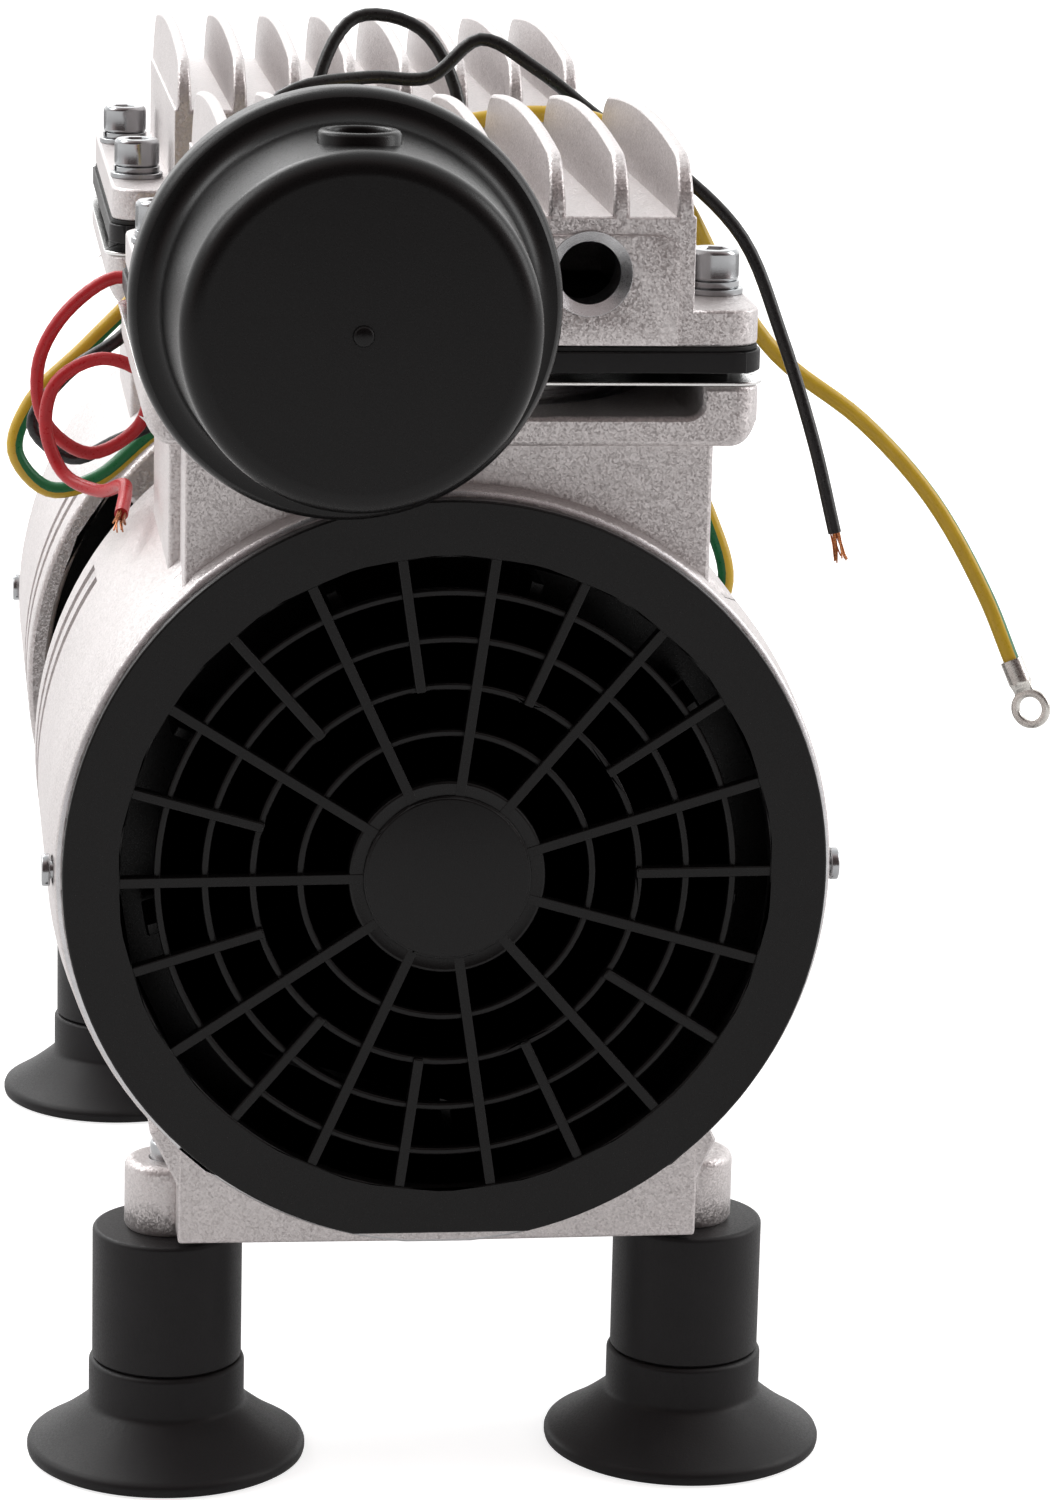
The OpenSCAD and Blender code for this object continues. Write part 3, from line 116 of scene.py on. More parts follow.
def surface(name, color, rough, metal=0.0, spec=0.5, mottle=0.08, mottle_mm=14, grain_mm=0.5, grain=0.2,
            depth_mm=0.03, sparkle=0.0, sparkle_mm=0.35, dust=0.0, stretch=(1, 1, 1)):
    """A procedural finish: slow colour drift, a fine grain in roughness and relief, and optional blasted facets.

    The sizes in mm are those of the drift, the grain, the relief's depth and the facets; stretch squeezes the
    pattern along an axis.
    """
    m, t, p = new_material(name)
    link = t.links.new
    p.inputs["Metallic"].default_value = metal
    p.inputs["Specular IOR Level"].default_value = spec
    p.inputs["Coat Weight"].default_value = 0
    p.inputs["Coat Roughness"].default_value = 0.15
    place = node(t, "Mapping", Scale=stretch)
    link(node(t, "TexCoord").outputs["Object"], place.inputs["Vector"])
    at = place.outputs["Vector"]

    slow = node(t, "TexNoise", Scale=1000 / mottle_mm, Detail=4)
    link(at, slow.inputs["Vector"])
    ramp = node(t, "ValToRGB")
    dark, light = ramp.color_ramp.elements
    dark.position, light.position = 0.32, 0.68
    dark.color = [c * (1 - mottle) for c in color] + [1]
    light.color = [min(1, c * (1 + mottle)) for c in color] + [1]
    link(slow.outputs["Fac"], ramp.inputs["Fac"])
    tint = ramp.outputs["Color"]

    fine = node(t, "TexNoise", Scale=1000 / grain_mm, Detail=3)
    link(at, fine.inputs["Vector"])
    spread = node(t, "MapRange", From_Min=0.3, From_Max=0.7,
                  To_Min=max(0.03, rough - grain * 0.5), To_Max=min(1, rough + grain * 0.5))
    link(fine.outputs["Fac"], spread.inputs["Value"])
    link(spread.outputs["Result"], p.inputs["Roughness"])
    bump = node(t, "Bump", Strength=0.6, Distance=depth_mm * MM)
    link(fine.outputs["Fac"], bump.inputs["Height"])
    normal = bump.outputs["Normal"]

    if sparkle:
        # each small cell leans its own way
        cells = node(t, "TexVoronoi", Scale=1000 / sparkle_mm)
        link(at, cells.inputs["Vector"])
        off = node(t, "VectorMath", operation="SUBTRACT")
        off.inputs[1].default_value = (0.5, 0.5, 0.5)
        link(cells.outputs["Color"], off.inputs[0])
        size = node(t, "VectorMath", operation="SCALE")
        size.inputs["Scale"].default_value = sparkle
        link(off.outputs["Vector"], size.inputs[0])
        total = node(t, "VectorMath", operation="ADD")
        link(size.outputs["Vector"], total.inputs[0])
        link(normal, total.inputs[1])
        unit = node(t, "VectorMath", operation="NORMALIZE")
        link(total.outputs["Vector"], unit.inputs[0])
        normal = unit.outputs["Vector"]
        # single grains are a little lighter or darker than the rest
        grey = node(t, "SeparateColor")
        link(cells.outputs["Color"], grey.inputs["Color"])
        level = node(t, "MapRange", To_Min=1 - sparkle * 0.45, To_Max=1 + sparkle * 0.25)
        link(grey.outputs["Red"], level.inputs["Value"])
        both = node(t, "Mix", data_type="RGBA", blend_type="MULTIPLY")
        both.inputs["Factor"].default_value = 1
        link(tint, both.inputs[MIX_A])
        link(level.outputs["Result"], both.inputs[MIX_B])
        tint = both.outputs[MIX_RESULT]

    if dust:
        # pale dust on faces that look up
        part = node(t, "SeparateXYZ")
        link(node(t, "NewGeometry").outputs["Normal"], part.inputs["Vector"])
        face = node(t, "MapRange", From_Min=0.2, To_Max=dust)
        link(part.outputs["Z"], face.inputs["Value"])
        both = node(t, "Mix", data_type="RGBA")
        both.inputs[MIX_B].default_value = (0.45, 0.44, 0.42, 1)
        link(face.outputs["Result"], both.inputs["Factor"])
        link(tint, both.inputs[MIX_A])
        tint = both.outputs[MIX_RESULT]

    link(tint, p.inputs["Base Color"])
    link(normal, p.inputs["Normal"])
    return m


def insulation(name, color, rough=0.34, mottle=0.06):
    """The skin of a lead."""
    return surface(name, color, rough, mottle=mottle, mottle_mm=5, grain_mm=0.5, depth_mm=0.02)


MATS = {
    "cast_aluminium": surface("cast_aluminium", (0.70, 0.665, 0.66), 0.44, metal=0.75, mottle=0.03, mottle_mm=30,
                              grain_mm=0.24, grain=0.16, depth_mm=0.03, sparkle=0.34, sparkle_mm=0.27),
    "machined_aluminium": surface("machined_aluminium", (0.60, 0.60, 0.61), 0.32, metal=0.95, grain_mm=0.3,
                                  stretch=(1, 1, 6)),
    "zinc_steel": surface("zinc_steel", (0.43, 0.44, 0.45), 0.2, metal=1.0, mottle=0.04, mottle_mm=3,
                          grain_mm=0.25, grain=0.06, depth_mm=0.008),
    "polished_steel": surface("polished_steel", (0.55, 0.55, 0.56), 0.20, metal=1.0, grain_mm=0.3,
                              stretch=(1, 8, 1)),
    "lamination_steel": surface("lamination_steel", (0.16, 0.155, 0.15), 0.48, metal=0.8, mottle=0.2,
                                grain_mm=0.5, depth_mm=0.2, stretch=(0.15, 1, 0.15)),
    "copper_wire": surface("copper_wire", (0.50, 0.20, 0.08), 0.30, metal=0.9, mottle=0.25, mottle_mm=3,
                           grain_mm=0.3),
    "bright_sheet": surface("bright_sheet", (0.78, 0.78, 0.77), 0.22, metal=1.0, mottle=0.03, grain_mm=0.6,
                            grain=0.08),
    "spring_steel": surface("spring_steel", (0.42, 0.45, 0.50), 0.25, metal=1.0, grain_mm=0.4),
    "black_plate": surface("black_plate", (0.0095, 0.0092, 0.0098), 0.42, grain_mm=0.4, depth_mm=0.02,
                           spec=0.24),
    "black_gasket": surface("black_gasket", (0.016, 0.016, 0.016), 0.6, grain_mm=0.4, spec=0.3),
    "black_plastic": surface("black_plastic", (0.0042, 0.0039, 0.0040), 0.30, spec=0.25, mottle=0.12,
                             grain_mm=0.22, grain=0.10, depth_mm=0.02, dust=0.006),
    "foot_rubber": surface("foot_rubber", (0.0095, 0.0090, 0.0098), 0.48, spec=0.28, mottle=0.12, mottle_mm=6,
                           grain_mm=0.35, grain=0.16, depth_mm=0.03, dust=0.01),
    "seal_plastic": surface("seal_plastic", (0.40, 0.28, 0.16), 0.5, grain_mm=0.4),
    "foam": surface("foam", (0.05, 0.05, 0.05), 0.95, grain_mm=0.8, depth_mm=0.3, spec=0.1),
    "yellow_insulation": insulation("yellow_insulation", (0.70, 0.46, 0.035)),
    "black_insulation": insulation("black_insulation", (0.012, 0.012, 0.012), 0.33, 0.1),
    "red_insulation": insulation("red_insulation", (0.55, 0.022, 0.028)),
    "tin_plate": surface("tin_plate", (0.72, 0.70, 0.66), 0.28, metal=1.0, mottle=0.08, mottle_mm=2,
                         grain_mm=0.3),
}
GREEN = insulation("green_insulation", (0.02, 0.20, 0.07))

for name, ob in frame["nodes"].items():
    for s in ob.material_slots:
        s.material = MATS[SLOT_OF[name]]

# ---------------------------------------------------------------- leads


def metres(points):
    return [Vector(p) * MM for p in points]


EARTH = metres([
    (42, -27, 116), (50, -24, 119), (57, -21, 125), (61, -20, 134), (58, -19, 145), (52, -17, 156),
    (38, -10, 165), (20, -4, 169), (-2, -1, 170), (-24, -1, 167), (-42, -3, 159), (-53, -4, 150),
    (-62, -4, 148), (-68, -4, 155), (-65, -3, 164), (-55, -2, 174), (-43, -2, 187), (-35, -3, 202),
    (-25, -8, 215), (-10, -15, 217), (8, -19, 217), (24, -20, 219), (37, -19, 217), (50, -17, 205),
    (59, -15, 190), (70, -14, 175), (86, -16, 163), (99, -18, 149), (109, -21, 132), (114, -24, 120)])
BLACK = metres([
    (-8, -27, 147), (-12, -24, 156), (-22, -19, 162), (-37, -15, 164), (-49, -13, 159), (-58, -11, 155),
    (-65, -11, 161), (-59, -10, 170), (-48, -10, 178), (-39, -10, 191), (-33, -13, 205), (-21, -14, 221),
    (-5, -9, 224), (6, -8, 224), (15, -9, 231), (25, -11, 226), (37, -13, 217), (51, -15, 208),
    (62, -20, 197), (69, -24, 180), (75, -28, 161), (79, -30, 145)])
RED = metres([
    (-18, -27, 144), (-25, -23, 155), (-33, -20, 167), (-40, -18, 180), (-49, -18, 189), (-58, -18, 184),
    (-64, -18, 174), (-63, -18, 163), (-55, -17, 157), (-46, -16, 162), (-45, -19, 171), (-53, -22, 175),
    (-61, -23, 171), (-63, -23, 163), (-60, -25, 155), (-54, -32, 153), (-50, -42, 156), (-50, -51, 156),
    (-51, -59, 154)])
ARCH = metres([
    (7, 27, 147), (7, 23, 157), (1, 15, 172), (-7, 12, 188), (-12, 12, 205), (-12, 15, 221),
    (-5, 19, 232), (7, 19, 230), (14, 16, 217), (13, 13, 200), (11, 13, 180), (14, 21, 163), (16, 26, 147)])


def smooth(points, steps=6):
    """A centripetal Catmull-Rom curve through the points."""
    pts = [points[0] * 2 - points[1], *points, points[-1] * 2 - points[-2]]
    out = []
    for i in range(1, len(pts) - 2):
        a, b, c, d = pts[i - 1:i + 3]
        t = [0.0]
        for u, v in ((a, b), (b, c), (c, d)):
            t.append(t[-1] + math.sqrt(max((v - u).length, 1e-9)))
        for k in range(steps):
            x = t[1] + (t[2] - t[1]) * k / steps
            p1 = a * ((t[1] - x) / (t[1] - t[0])) + b * ((x - t[0]) / (t[1] - t[0]))
            p2 = b * ((t[2] - x) / (t[2] - t[1])) + c * ((x - t[1]) / (t[2] - t[1]))
            p3 = c * ((t[3] - x) / (t[3] - t[2])) + d * ((x - t[2]) / (t[3] - t[2]))
            q1 = p1 * ((t[2] - x) / (t[2] - t[0])) + p2 * ((x - t[0]) / (t[2] - t[0]))
            q2 = p2 * ((t[3] - x) / (t[3] - t[1])) + p3 * ((x - t[1]) / (t[3] - t[1]))
            out.append(q1 * ((t[2] - x) / (t[2] - t[1])) + q2 * ((x - t[1]) / (t[2] - t[1])))
    out.append(Vector(points[-1]))
    return out


def join_rings(bm, rings):
    """Side faces between closed rings that have the same number of vertices; returns them row by row."""
    n = len(rings[0])
    return [[bm.faces.new((a[k], a[(k + 1) % n], b[(k + 1) % n], b[k])) for k in range(n)]
            for a, b in zip(rings, rings[1:])]


def close_ends(bm, rings):
    """The two end faces of a run of rings."""
    bm.faces.new(list(reversed(rings[0])))
    bm.faces.new(rings[-1])


def tube_into(bm, path, radius, sides, twist=0.0, painted=0):
    """Adds a round tube along a path to bm, closed at both ends; its first painted sides get the second material."""
    rings = []
    side = Vector((0, 1, 0))
    for i, p in enumerate(path):
        t = (path[min(i + 1, len(path) - 1)] - path[max(i - 1, 0)]).normalized()
        side = (side - t * side.dot(t)).normalized()
        other = t.cross(side)
        ring = []
        for k in range(sides):
            a = 2 * math.pi * k / sides + twist * i
            ring.append(bm.verts.new(p + side * (radius * math.cos(a)) + other * (radius * math.sin(a))))
        rings.append(ring)
    for row in join_rings(bm, rings):
        for f in row[:painted]:
            f.material_index = 1
    close_ends(bm, rings)


def finish_mesh(name, bm, sharp=38):
    """A mesh from bm, shaded smooth but for edges that bend by more than sharp degrees."""
    bmesh.ops.recalc_face_normals(bm, faces=bm.faces)
    me = bpy.data.meshes.new(name)
    bm.to_mesh(me)
    bm.free()
    for p in me.polygons:
        p.use_smooth = True
    me.set_sharp_from_angle(angle=math.radians(sharp))
    return me


def piece(name, bm, slot, sharp=38, body="housing", nodes=()):
    """A new piece from bm."""
    return add(name, finish_mesh(name, bm, sharp), slot, body, nodes)


def lead(name, route, d_mm, slot, nodes, green=False):
    """A loose lead along a route; green gives it a stripe over a third of its skin."""
    path = smooth(route)
    bm = bmesh.new()
    tube_into(bm, path, d_mm * MM / 2, 18, twist=0.035 if green else 0.0, painted=6 if green else 0)
    me = finish_mesh(name, bm)
    me.materials.append(MATS[slot])
    if green:
        me.materials.append(GREEN)
    ob = add(name, me, slot, nodes=nodes)


rng = random.Random(11)
STRAND_R, STRAND_ROOT = 0.16 * MM, 1 * MM       # a bare wire's radius, and its start inside the lead


def strands_into(bm, route, count, reach):
    """Thin bare wires that leave the end of a lead in a loose bunch."""
    end = route[-1]
    t = (route[-1] - route[-2]).normalized()
    side = t.orthogonal().normalized()
    other = t.cross(side)
    for k in range(count):
        a = 2 * math.pi * k / count + rng.uniform(-0.2, 0.2)
        r0 = (0.55 if k % 3 else 0.25) * MM
        flare = rng.uniform(0.2, 1.2) * MM
        turn = rng.uniform(0.5, 1.3)
        far = reach * rng.uniform(0.75, 1.0)
        pts = []
        for i in range(7):
            s = i / 6
            b = a + turn * s
            r = r0 + 0.25 * MM + flare * max(0.0, s - 0.5)
            along_lead = t * ((far + STRAND_ROOT) * s - STRAND_ROOT)
            pts.append(end + along_lead + side * (r * math.cos(b)) + other * (r * math.sin(b)))
        tube_into(bm, pts, STRAND_R, 6)


bm = bmesh.new()
strands_into(bm, BLACK, 11, 5.8 * MM)
strands_into(bm, RED, 11, 5.5 * MM)
strands = piece("bare_strands_wires", bm, "copper_wire", nodes=["bare_strands"])


def lathe_into(bm, profile, frame_at=Matrix(), segments=72, closed=True, wobble=None):
    """Turns a profile of (radius, height) pairs in mm about the Z axis of a frame."""
    rings = []
    for r, h in profile:
        ring = []
        for k in range(segments):
            a = 2 * math.pi * k / segments
            q = r + (wobble(k, r, h) if wobble else 0)
            ring.append(bm.verts.new(frame_at @ (Vector((q * math.cos(a), q * math.sin(a), h)) * MM)))
        rings.append(ring)
    join_rings(bm, rings + rings[:1] if closed else rings)
    bmesh.ops.remove_doubles(bm, verts=[v for ring in rings for v in ring], dist=1e-7)


def arc(cx, cy, r, a0, a1, n):
    """n + 1 points on an arc from a0 to a1 degrees."""
    turns = [math.radians(a0 + (a1 - a0) * i / n) for i in range(n + 1)]
    return [(cx + r * math.cos(a), cy + r * math.sin(a)) for a in turns]


def along(z_axis, x_hint, origin):
    """A frame at a point in mm, its Z axis along z_axis and its X axis near x_hint."""
    z = Vector(z_axis).normalized()
    x = Vector(x_hint)
    x = (x - z * x.dot(z)).normalized()
    m = Matrix((x, z.cross(x), z)).transposed().to_4x4()
    m.translation = Vector(origin) * MM
    return m


def lift_to(x, y, z=0):
    """A frame at a point in mm with the world's axes."""
    return Matrix.Translation(Vector((x, y, z)) * MM)


def facing(side, origin):
    """A frame at a point in mm that looks along Y, to the front for side -1."""
    return along((0, side, 0), (1, 0, 0), origin)


# the ring terminal on the earth lead: a crimped barrel, a tongue and a flat ring
BARREL_R, BARREL_SIDES = 2.12, 48
CRIMP_AT, CRIMP_HALF, CRIMP_DEPTH = 2.9, 1.1, 0.55
TONGUE_SIDES, TONGUE_SQUARE = 20, 0.55


def crimp(k, r, h):
    """The dent in the barrel's upper side."""
    a = 2 * math.pi * k / BARREL_SIDES
    dent = max(0.0, 1 - abs(h - CRIMP_AT) / CRIMP_HALF) * CRIMP_DEPTH * max(0.0, math.cos(a)) ** 2
    return -dent if r > 1.0 else 0


lead_dir = (EARTH[-1] - EARTH[-2]).normalized()
eye_normal = Vector((0.5145, 0.8575, 0))
at = along(lead_dir, eye_normal, EARTH[-1] / MM)
bm = bmesh.new()
barrel = [(1.62, 0), (BARREL_R, 0)] + [(BARREL_R, h * 0.25) for h in range(1, 18)]
barrel += [(BARREL_R, 4.5), (2.0, 4.8), (1.6, 4.8)]
lathe_into(bm, barrel, at, segments=BARREL_SIDES, wobble=crimp)
# tongue: from the barrel's round section to the flat plate, as height, half width and half thickness
rows = []
for h, half_w, half_t in [(3.0, 2.05, 1.5), (4.6, 2.0, 1.3), (5.4, 1.9, 0.75), (6.3, 1.85, 0.45), (7.0, 2.3, 0.45)]:
    ring = []
    for k in range(TONGUE_SIDES):
        a = 2 * math.pi * k / TONGUE_SIDES
        c, s = math.cos(a), math.sin(a)
        x = half_t * math.copysign(abs(c) ** TONGUE_SQUARE, c)
        y = half_w * math.copysign(abs(s) ** TONGUE_SQUARE, s)
        ring.append(bm.verts.new(at @ (Vector((x, y, h)) * MM)))
    rows.append(ring)
join_rings(bm, rows)
close_ends(bm, rows)
ring_at = at @ lift_to(0, 0, 9.7) @ Matrix.Rotation(math.pi / 2, 4, "Y")
lathe_into(bm, [(2.2, -0.33), (2.32, -0.45), (3.55, -0.45), (3.7, -0.3),
                (3.7, 0.3), (3.55, 0.45), (2.32, 0.45), (2.2, 0.33)], ring_at, segments=56)
terminal = piece("ring_terminal_eye", bm, "tin_plate", 50, nodes=["ring_terminal"])

lead("earth_lead_cord", EARTH, 3.0, "yellow_insulation", ["earth_lead"], green=True)
lead("black_lead_cord", BLACK, 2.4, "black_insulation", ["black_lead"])
lead("red_lead_cord", RED, 2.4, "red_insulation", ["red_lead"])
lead("arch_lead_cord", ARCH, 2.4, "black_insulation", ["arch_lead"])

# ---------------------------------------------------------------- stage and light


def floor_material():
    """A white floor that keeps the object's shadow: pale and lit, with a glow that only the camera sees in full."""
    m, t, p = new_material("floor_white")
    link = t.links.new
    p.inputs["Base Color"].default_value = (0.6, 0.6, 0.6, 1)
    p.inputs["Roughness"].default_value = 0.9
    p.inputs["Specular IOR Level"].default_value = 0.1
    # the glow grows away from the object, where the lamps fade
    far = node(t, "VectorMath", operation="LENGTH")
    link(node(t, "TexCoord").outputs["Object"], far.inputs[0])
    fade = node(t, "MapRange", From_Min=0.3, From_Max=2.2, To_Min=0.78, To_Max=0.98)
    link(far.outputs["Value"], fade.inputs["Value"])
    rays = node(t, "LightPath")
    shown = node(t, "Math", operation="MULTIPLY")
    link(rays.outputs["Is Camera Ray"], shown.inputs[0])
    link(fade.outputs["Result"], shown.inputs[1])
    total = node(t, "Math", operation="MULTIPLY_ADD")
    link(rays.outputs["Is Glossy Ray"], total.inputs[0])
    total.inputs[1].default_value = 0.25
    link(shown.outputs[0], total.inputs[2])
    glow = node(t, "Emission")
    glow.inputs["Color"].default_value = (1, 1, 1, 1)
    link(total.outputs[0], glow.inputs["Strength"])
    mix = node(t, "AddShader")
    link(p.outputs[0], mix.inputs[0])
    link(glow.outputs[0], mix.inputs[1])
    link(mix.outputs[0], t.nodes["Material Output"].inputs["Surface"])
    return m


bm = bmesh.new()
bmesh.ops.create_grid(bm, x_segments=1, y_segments=1, size=8)
me = bpy.data.meshes.new("floor")
bm.to_mesh(me)
bm.free()
me.materials.append(floor_material())
floor = bpy.data.objects.new("floor", me)
floor.location.z = -0.2 * MM
bpy.context.scene.collection.objects.link(floor)


def world_light(tree):
    """White for the camera and through clear things; for other rays a room that is bright but for its front."""
    link = tree.links.new
    sky = tree.nodes["Background"]
    rays = node(tree, "LightPath")
    seen = node(tree, "Math", operation="MAXIMUM")
    link(rays.outputs["Is Camera Ray"], seen.inputs[0])
    link(rays.outputs["Is Transmission Ray"], seen.inputs[1])
    parts = node(tree, "SeparateXYZ")
    link(node(tree, "TexCoord").outputs["Generated"], parts.inputs["Vector"])

    def ramp(**span):
        step = node(tree, "MapRange", interpolation_type="SMOOTHSTEP", **span)
        link(parts.outputs["Y"], step.inputs["Value"])
        return step.outputs["Result"]

    # brighter from the front to the back, and once more far behind
    total = node(tree, "Math", operation="ADD")
    link(ramp(From_Min=-0.75, From_Max=-0.05, To_Min=0.10, To_Max=0.85), total.inputs[0])
    link(ramp(From_Min=0.1, From_Max=0.9, To_Max=0.7), total.inputs[1])
    level = node(tree, "Mix", data_type="FLOAT")
    link(seen.outputs[0], level.inputs[0])
    link(total.outputs[0], level.inputs[2])
    level.inputs[3].default_value = 1.0
    link(level.outputs[0], sky.inputs["Strength"])
    # the dim front is a little warm
    unseen = node(tree, "Math", operation="SUBTRACT")
    unseen.inputs[0].default_value = 1.0
    link(seen.outputs[0], unseen.inputs[1])
    share = node(tree, "Math", operation="MULTIPLY")
    link(ramp(From_Min=0.15, From_Max=-0.65), share.inputs[0])
    link(unseen.outputs[0], share.inputs[1])
    hue = node(tree, "Mix", data_type="RGBA")
    hue.inputs[MIX_A].default_value = (1, 1, 1, 1)
    hue.inputs[MIX_B].default_value = (1, 0.78, 0.76, 1)
    link(share.outputs[0], hue.inputs["Factor"])
    link(hue.outputs[MIX_RESULT], sky.inputs["Color"])


world = bpy.data.worlds.new("studio")
bpy.context.scene.world = world
world.use_nodes = True
world_light(world.node_tree)


def lamp(name, at_m, aim, size, watts, size_y=None):
    """A soft square or oblong lamp that looks at a point."""
    data = bpy.data.lights.new(name, "AREA")
    data.energy = watts
    data.size = size
    if size_y:
        data.shape = "RECTANGLE"
        data.size_y = size_y
    ob = bpy.data.objects.new(name, data)
    ob.location = at_m
    ob.rotation_euler = (Vector(aim) - Vector(at_m)).to_track_quat("-Z", "Y").to_euler()
    bpy.context.scene.collection.objects.link(ob)


lamp("key", (-1.1, 0.15, 1.15), (0, -0.05, 0.13), 0.7, 5.5)
lamp("fill", (1.3, -0.05, 0.75), (0, 0, 0.12), 0.6, 6.5, 1.0)
lamp("top", (-0.55, 1.05, 1.25), (0, 0, 0.15), 0.8, 8.4)

# ---------------------------------------------------------------- castings and other carried shapes


BEVEL_BEND = 30         # the smallest outward bend that is rounded, degrees
MERGE, HEAD_MERGE, FIN_MERGE = 0.002, 0.03, 0.6     # vertices closer than this become one, mm


def keeps_its_edge(node_name, e):
    """The shallow bands on the sides of the housings' shell stay as they are."""
    return node_name.endswith("housing") and all(
        abs(v.co.x) > 48 * MM and 34 * MM < abs(v.co.y) < 85 * MM and 60 * MM < v.co.z < 160 * MM
        for v in e.verts)


def bevel_weight(e, width):
    """How much of the full bevel an edge has room for."""
    d = (e.verts[1].co - e.verts[0].co).normalized()
    room = 1.0
    for v in e.verts:
        for o in v.link_edges:
            if o is e:
                continue
            w = o.other_vert(v).co - v.co
            if w.length > 1e-9 and abs(w.normalized().dot(d)) < 0.8:
                room = min(room, w.length)
    weight = min(1.0, 0.42 * room / width)
    return weight if weight >= 0.06 else 0


def flat_faces(bm):
    """Faces of five corners or more that are no part of a curved surface."""
    def border(f, low=-1.0, high=360.0):
        return sum(e.calc_length() for e in f.edges if low < math.degrees(e.calc_face_angle(0)) < high)
    return [f.index for f in bm.faces if len(f.verts) > 4 and border(f, 0.7, 7) < 0.3 * border(f)]


def evaluated(ob):
    """The mesh of an object with its modifiers applied."""
    return bpy.data.meshes.new_from_object(ob.evaluated_get(bpy.context.evaluated_depsgraph_get()))


def soften(node_name, width_mm, machined=None, shape=None):
    """A copy of a CAD node with its sharp edges rounded, each as wide as its neighbours leave room for.

    machined(centre_mm, normal) picks the faces that are turned or milled; shape(co) moves vertices first.
    """
    head = node_name.endswith("head")
    bm = bmesh.new()
    bm.from_mesh(frame["nodes"][node_name].data)
    if shape:
        for v in bm.verts:
            shape(v.co)
    bmesh.ops.remove_doubles(bm, verts=bm.verts, dist=(HEAD_MERGE if head else MERGE) * MM)
    if head:
        arches = [v for v in bm.verts if v.co.z > FIN_ARCH_Z * MM]
        bmesh.ops.remove_doubles(bm, verts=arches, dist=FIN_MERGE * MM)
    bmesh.ops.dissolve_degenerate(bm, edges=bm.edges, dist=1e-6)
    bmesh.ops.dissolve_limit(bm, angle_limit=math.radians(0.6), verts=bm.verts, edges=bm.edges)
    layer = bm.edges.layers.float.new("bevel_weight_edge")
    for e in bm.edges:
        outward = len(e.link_faces) == 2 and math.degrees(e.calc_face_angle_signed(0)) >= BEVEL_BEND
        if outward and e.calc_length() >= 1e-7 and not keeps_its_edge(node_name, e):
            e[layer] = bevel_weight(e, width_mm * MM)
    me = bpy.data.meshes.new(node_name + "_form")
    bm.to_mesh(me)
    bm.free()

    ob = bpy.data.objects.new(node_name + "_tmp", me)
    bpy.context.scene.collection.objects.link(ob)
    bevel = ob.modifiers.new("round", "BEVEL")
    bevel.limit_method = "WEIGHT"
    bevel.width = width_mm * MM
    bevel.segments = 2
    bevel.use_clamp_overlap = False
    bevel.harden_normals = False
    bevel.miter_outer = "MITER_ARC"
    bm = bmesh.new()
    bm.from_mesh(evaluated(ob))
    bmesh.ops.remove_doubles(bm, verts=bm.verts, dist=1e-7)
    bm.normal_update()
    flat = flat_faces(bm)
    me = finish_mesh(node_name + "_form", bm)
    for k in flat:
        me.polygons[k].use_smooth = False
    ob.modifiers.clear()
    ob.data = me
    ob.modifiers.new("normals", "WEIGHTED_NORMAL").keep_sharp = True
    me = evaluated(ob)
    bpy.data.objects.remove(ob)

    me.name = node_name + "_form"
    slot = SLOT_OF[node_name]
    me.materials.clear()
    me.materials.append(MATS[slot])
    if machined:
        me.materials.append(MATS["machined_aluminium"])
    for p in me.polygons:
        p.material_index = 1 if machined and machined(p.center / MM, p.normal) else 0
    return add(node_name + "_form", me, slot, BODY_OF[node_name], [node_name])


def at_port_bore(c, n):
    """The threaded bores and their chamfers."""
    return math.hypot(abs(c.x) - PORT_X, c.z - PORT_Z) < 6.9 and abs(n.y) < 0.95


def at_mouth(c, n):
    """The turned lip around each fan cover."""
    return abs(c.y) > 116.2 and 60 < math.hypot(c.x, c.z - AXIS_Z) < SHELL_R + 0.5 and abs(n.y) > 0.6


def fit_housing(v):
    """The photographed neck and deck: a little narrower, plain sides, and a deck with its ends drawn in."""
    x, y, z = abs(v.x) / MM, abs(v.y) / MM, v.z / MM
    to = math.copysign(MM, v.x)
    if 140 < z < 176.4 and 31.9 < y < 112.1 and 43.97 < x < 46.63:
        if abs(math.hypot(x, z - AXIS_Z) - SHELL_R) < 0.1:
            v.z = (AXIS_Z + math.sqrt(SHELL_R ** 2 - NECK_HALF ** 2)) * MM
        v.x = NECK_HALF * to
    elif z > 176.1 and x > DECK_SQUEEZE_FROM:
        v.x = (DECK_SQUEEZE_FROM + (x - DECK_SQUEEZE_FROM) * DECK_SQUEEZE) * to


def fit_head(v):
    """A thicker flange, and a plain face that takes the cast panel."""
    if abs(v.z / MM - FLANGE_TOP_Z) < 0.03:
        v.z = FITTED_FLANGE_TOP_Z * MM
    if abs(abs(v.y) / MM - FACE_Y) < 0.03:
        v.y = math.copysign(CUT_FACE_Y * MM, v.y)


def narrower(by):
    """A plate's ends moved in by some mm."""
    def move(v):
        if abs(v.x) > 46.9 * MM:
            v.x -= math.copysign(by * MM, v.x)
    return move


FIT = {"front_housing": fit_housing, "rear_housing": fit_housing, "front_head": fit_head, "rear_head": fit_head,
       "front_valve_plate": narrower(0.7), "rear_valve_plate": narrower(0.7), "deflector_sheets": narrower(1.4)}

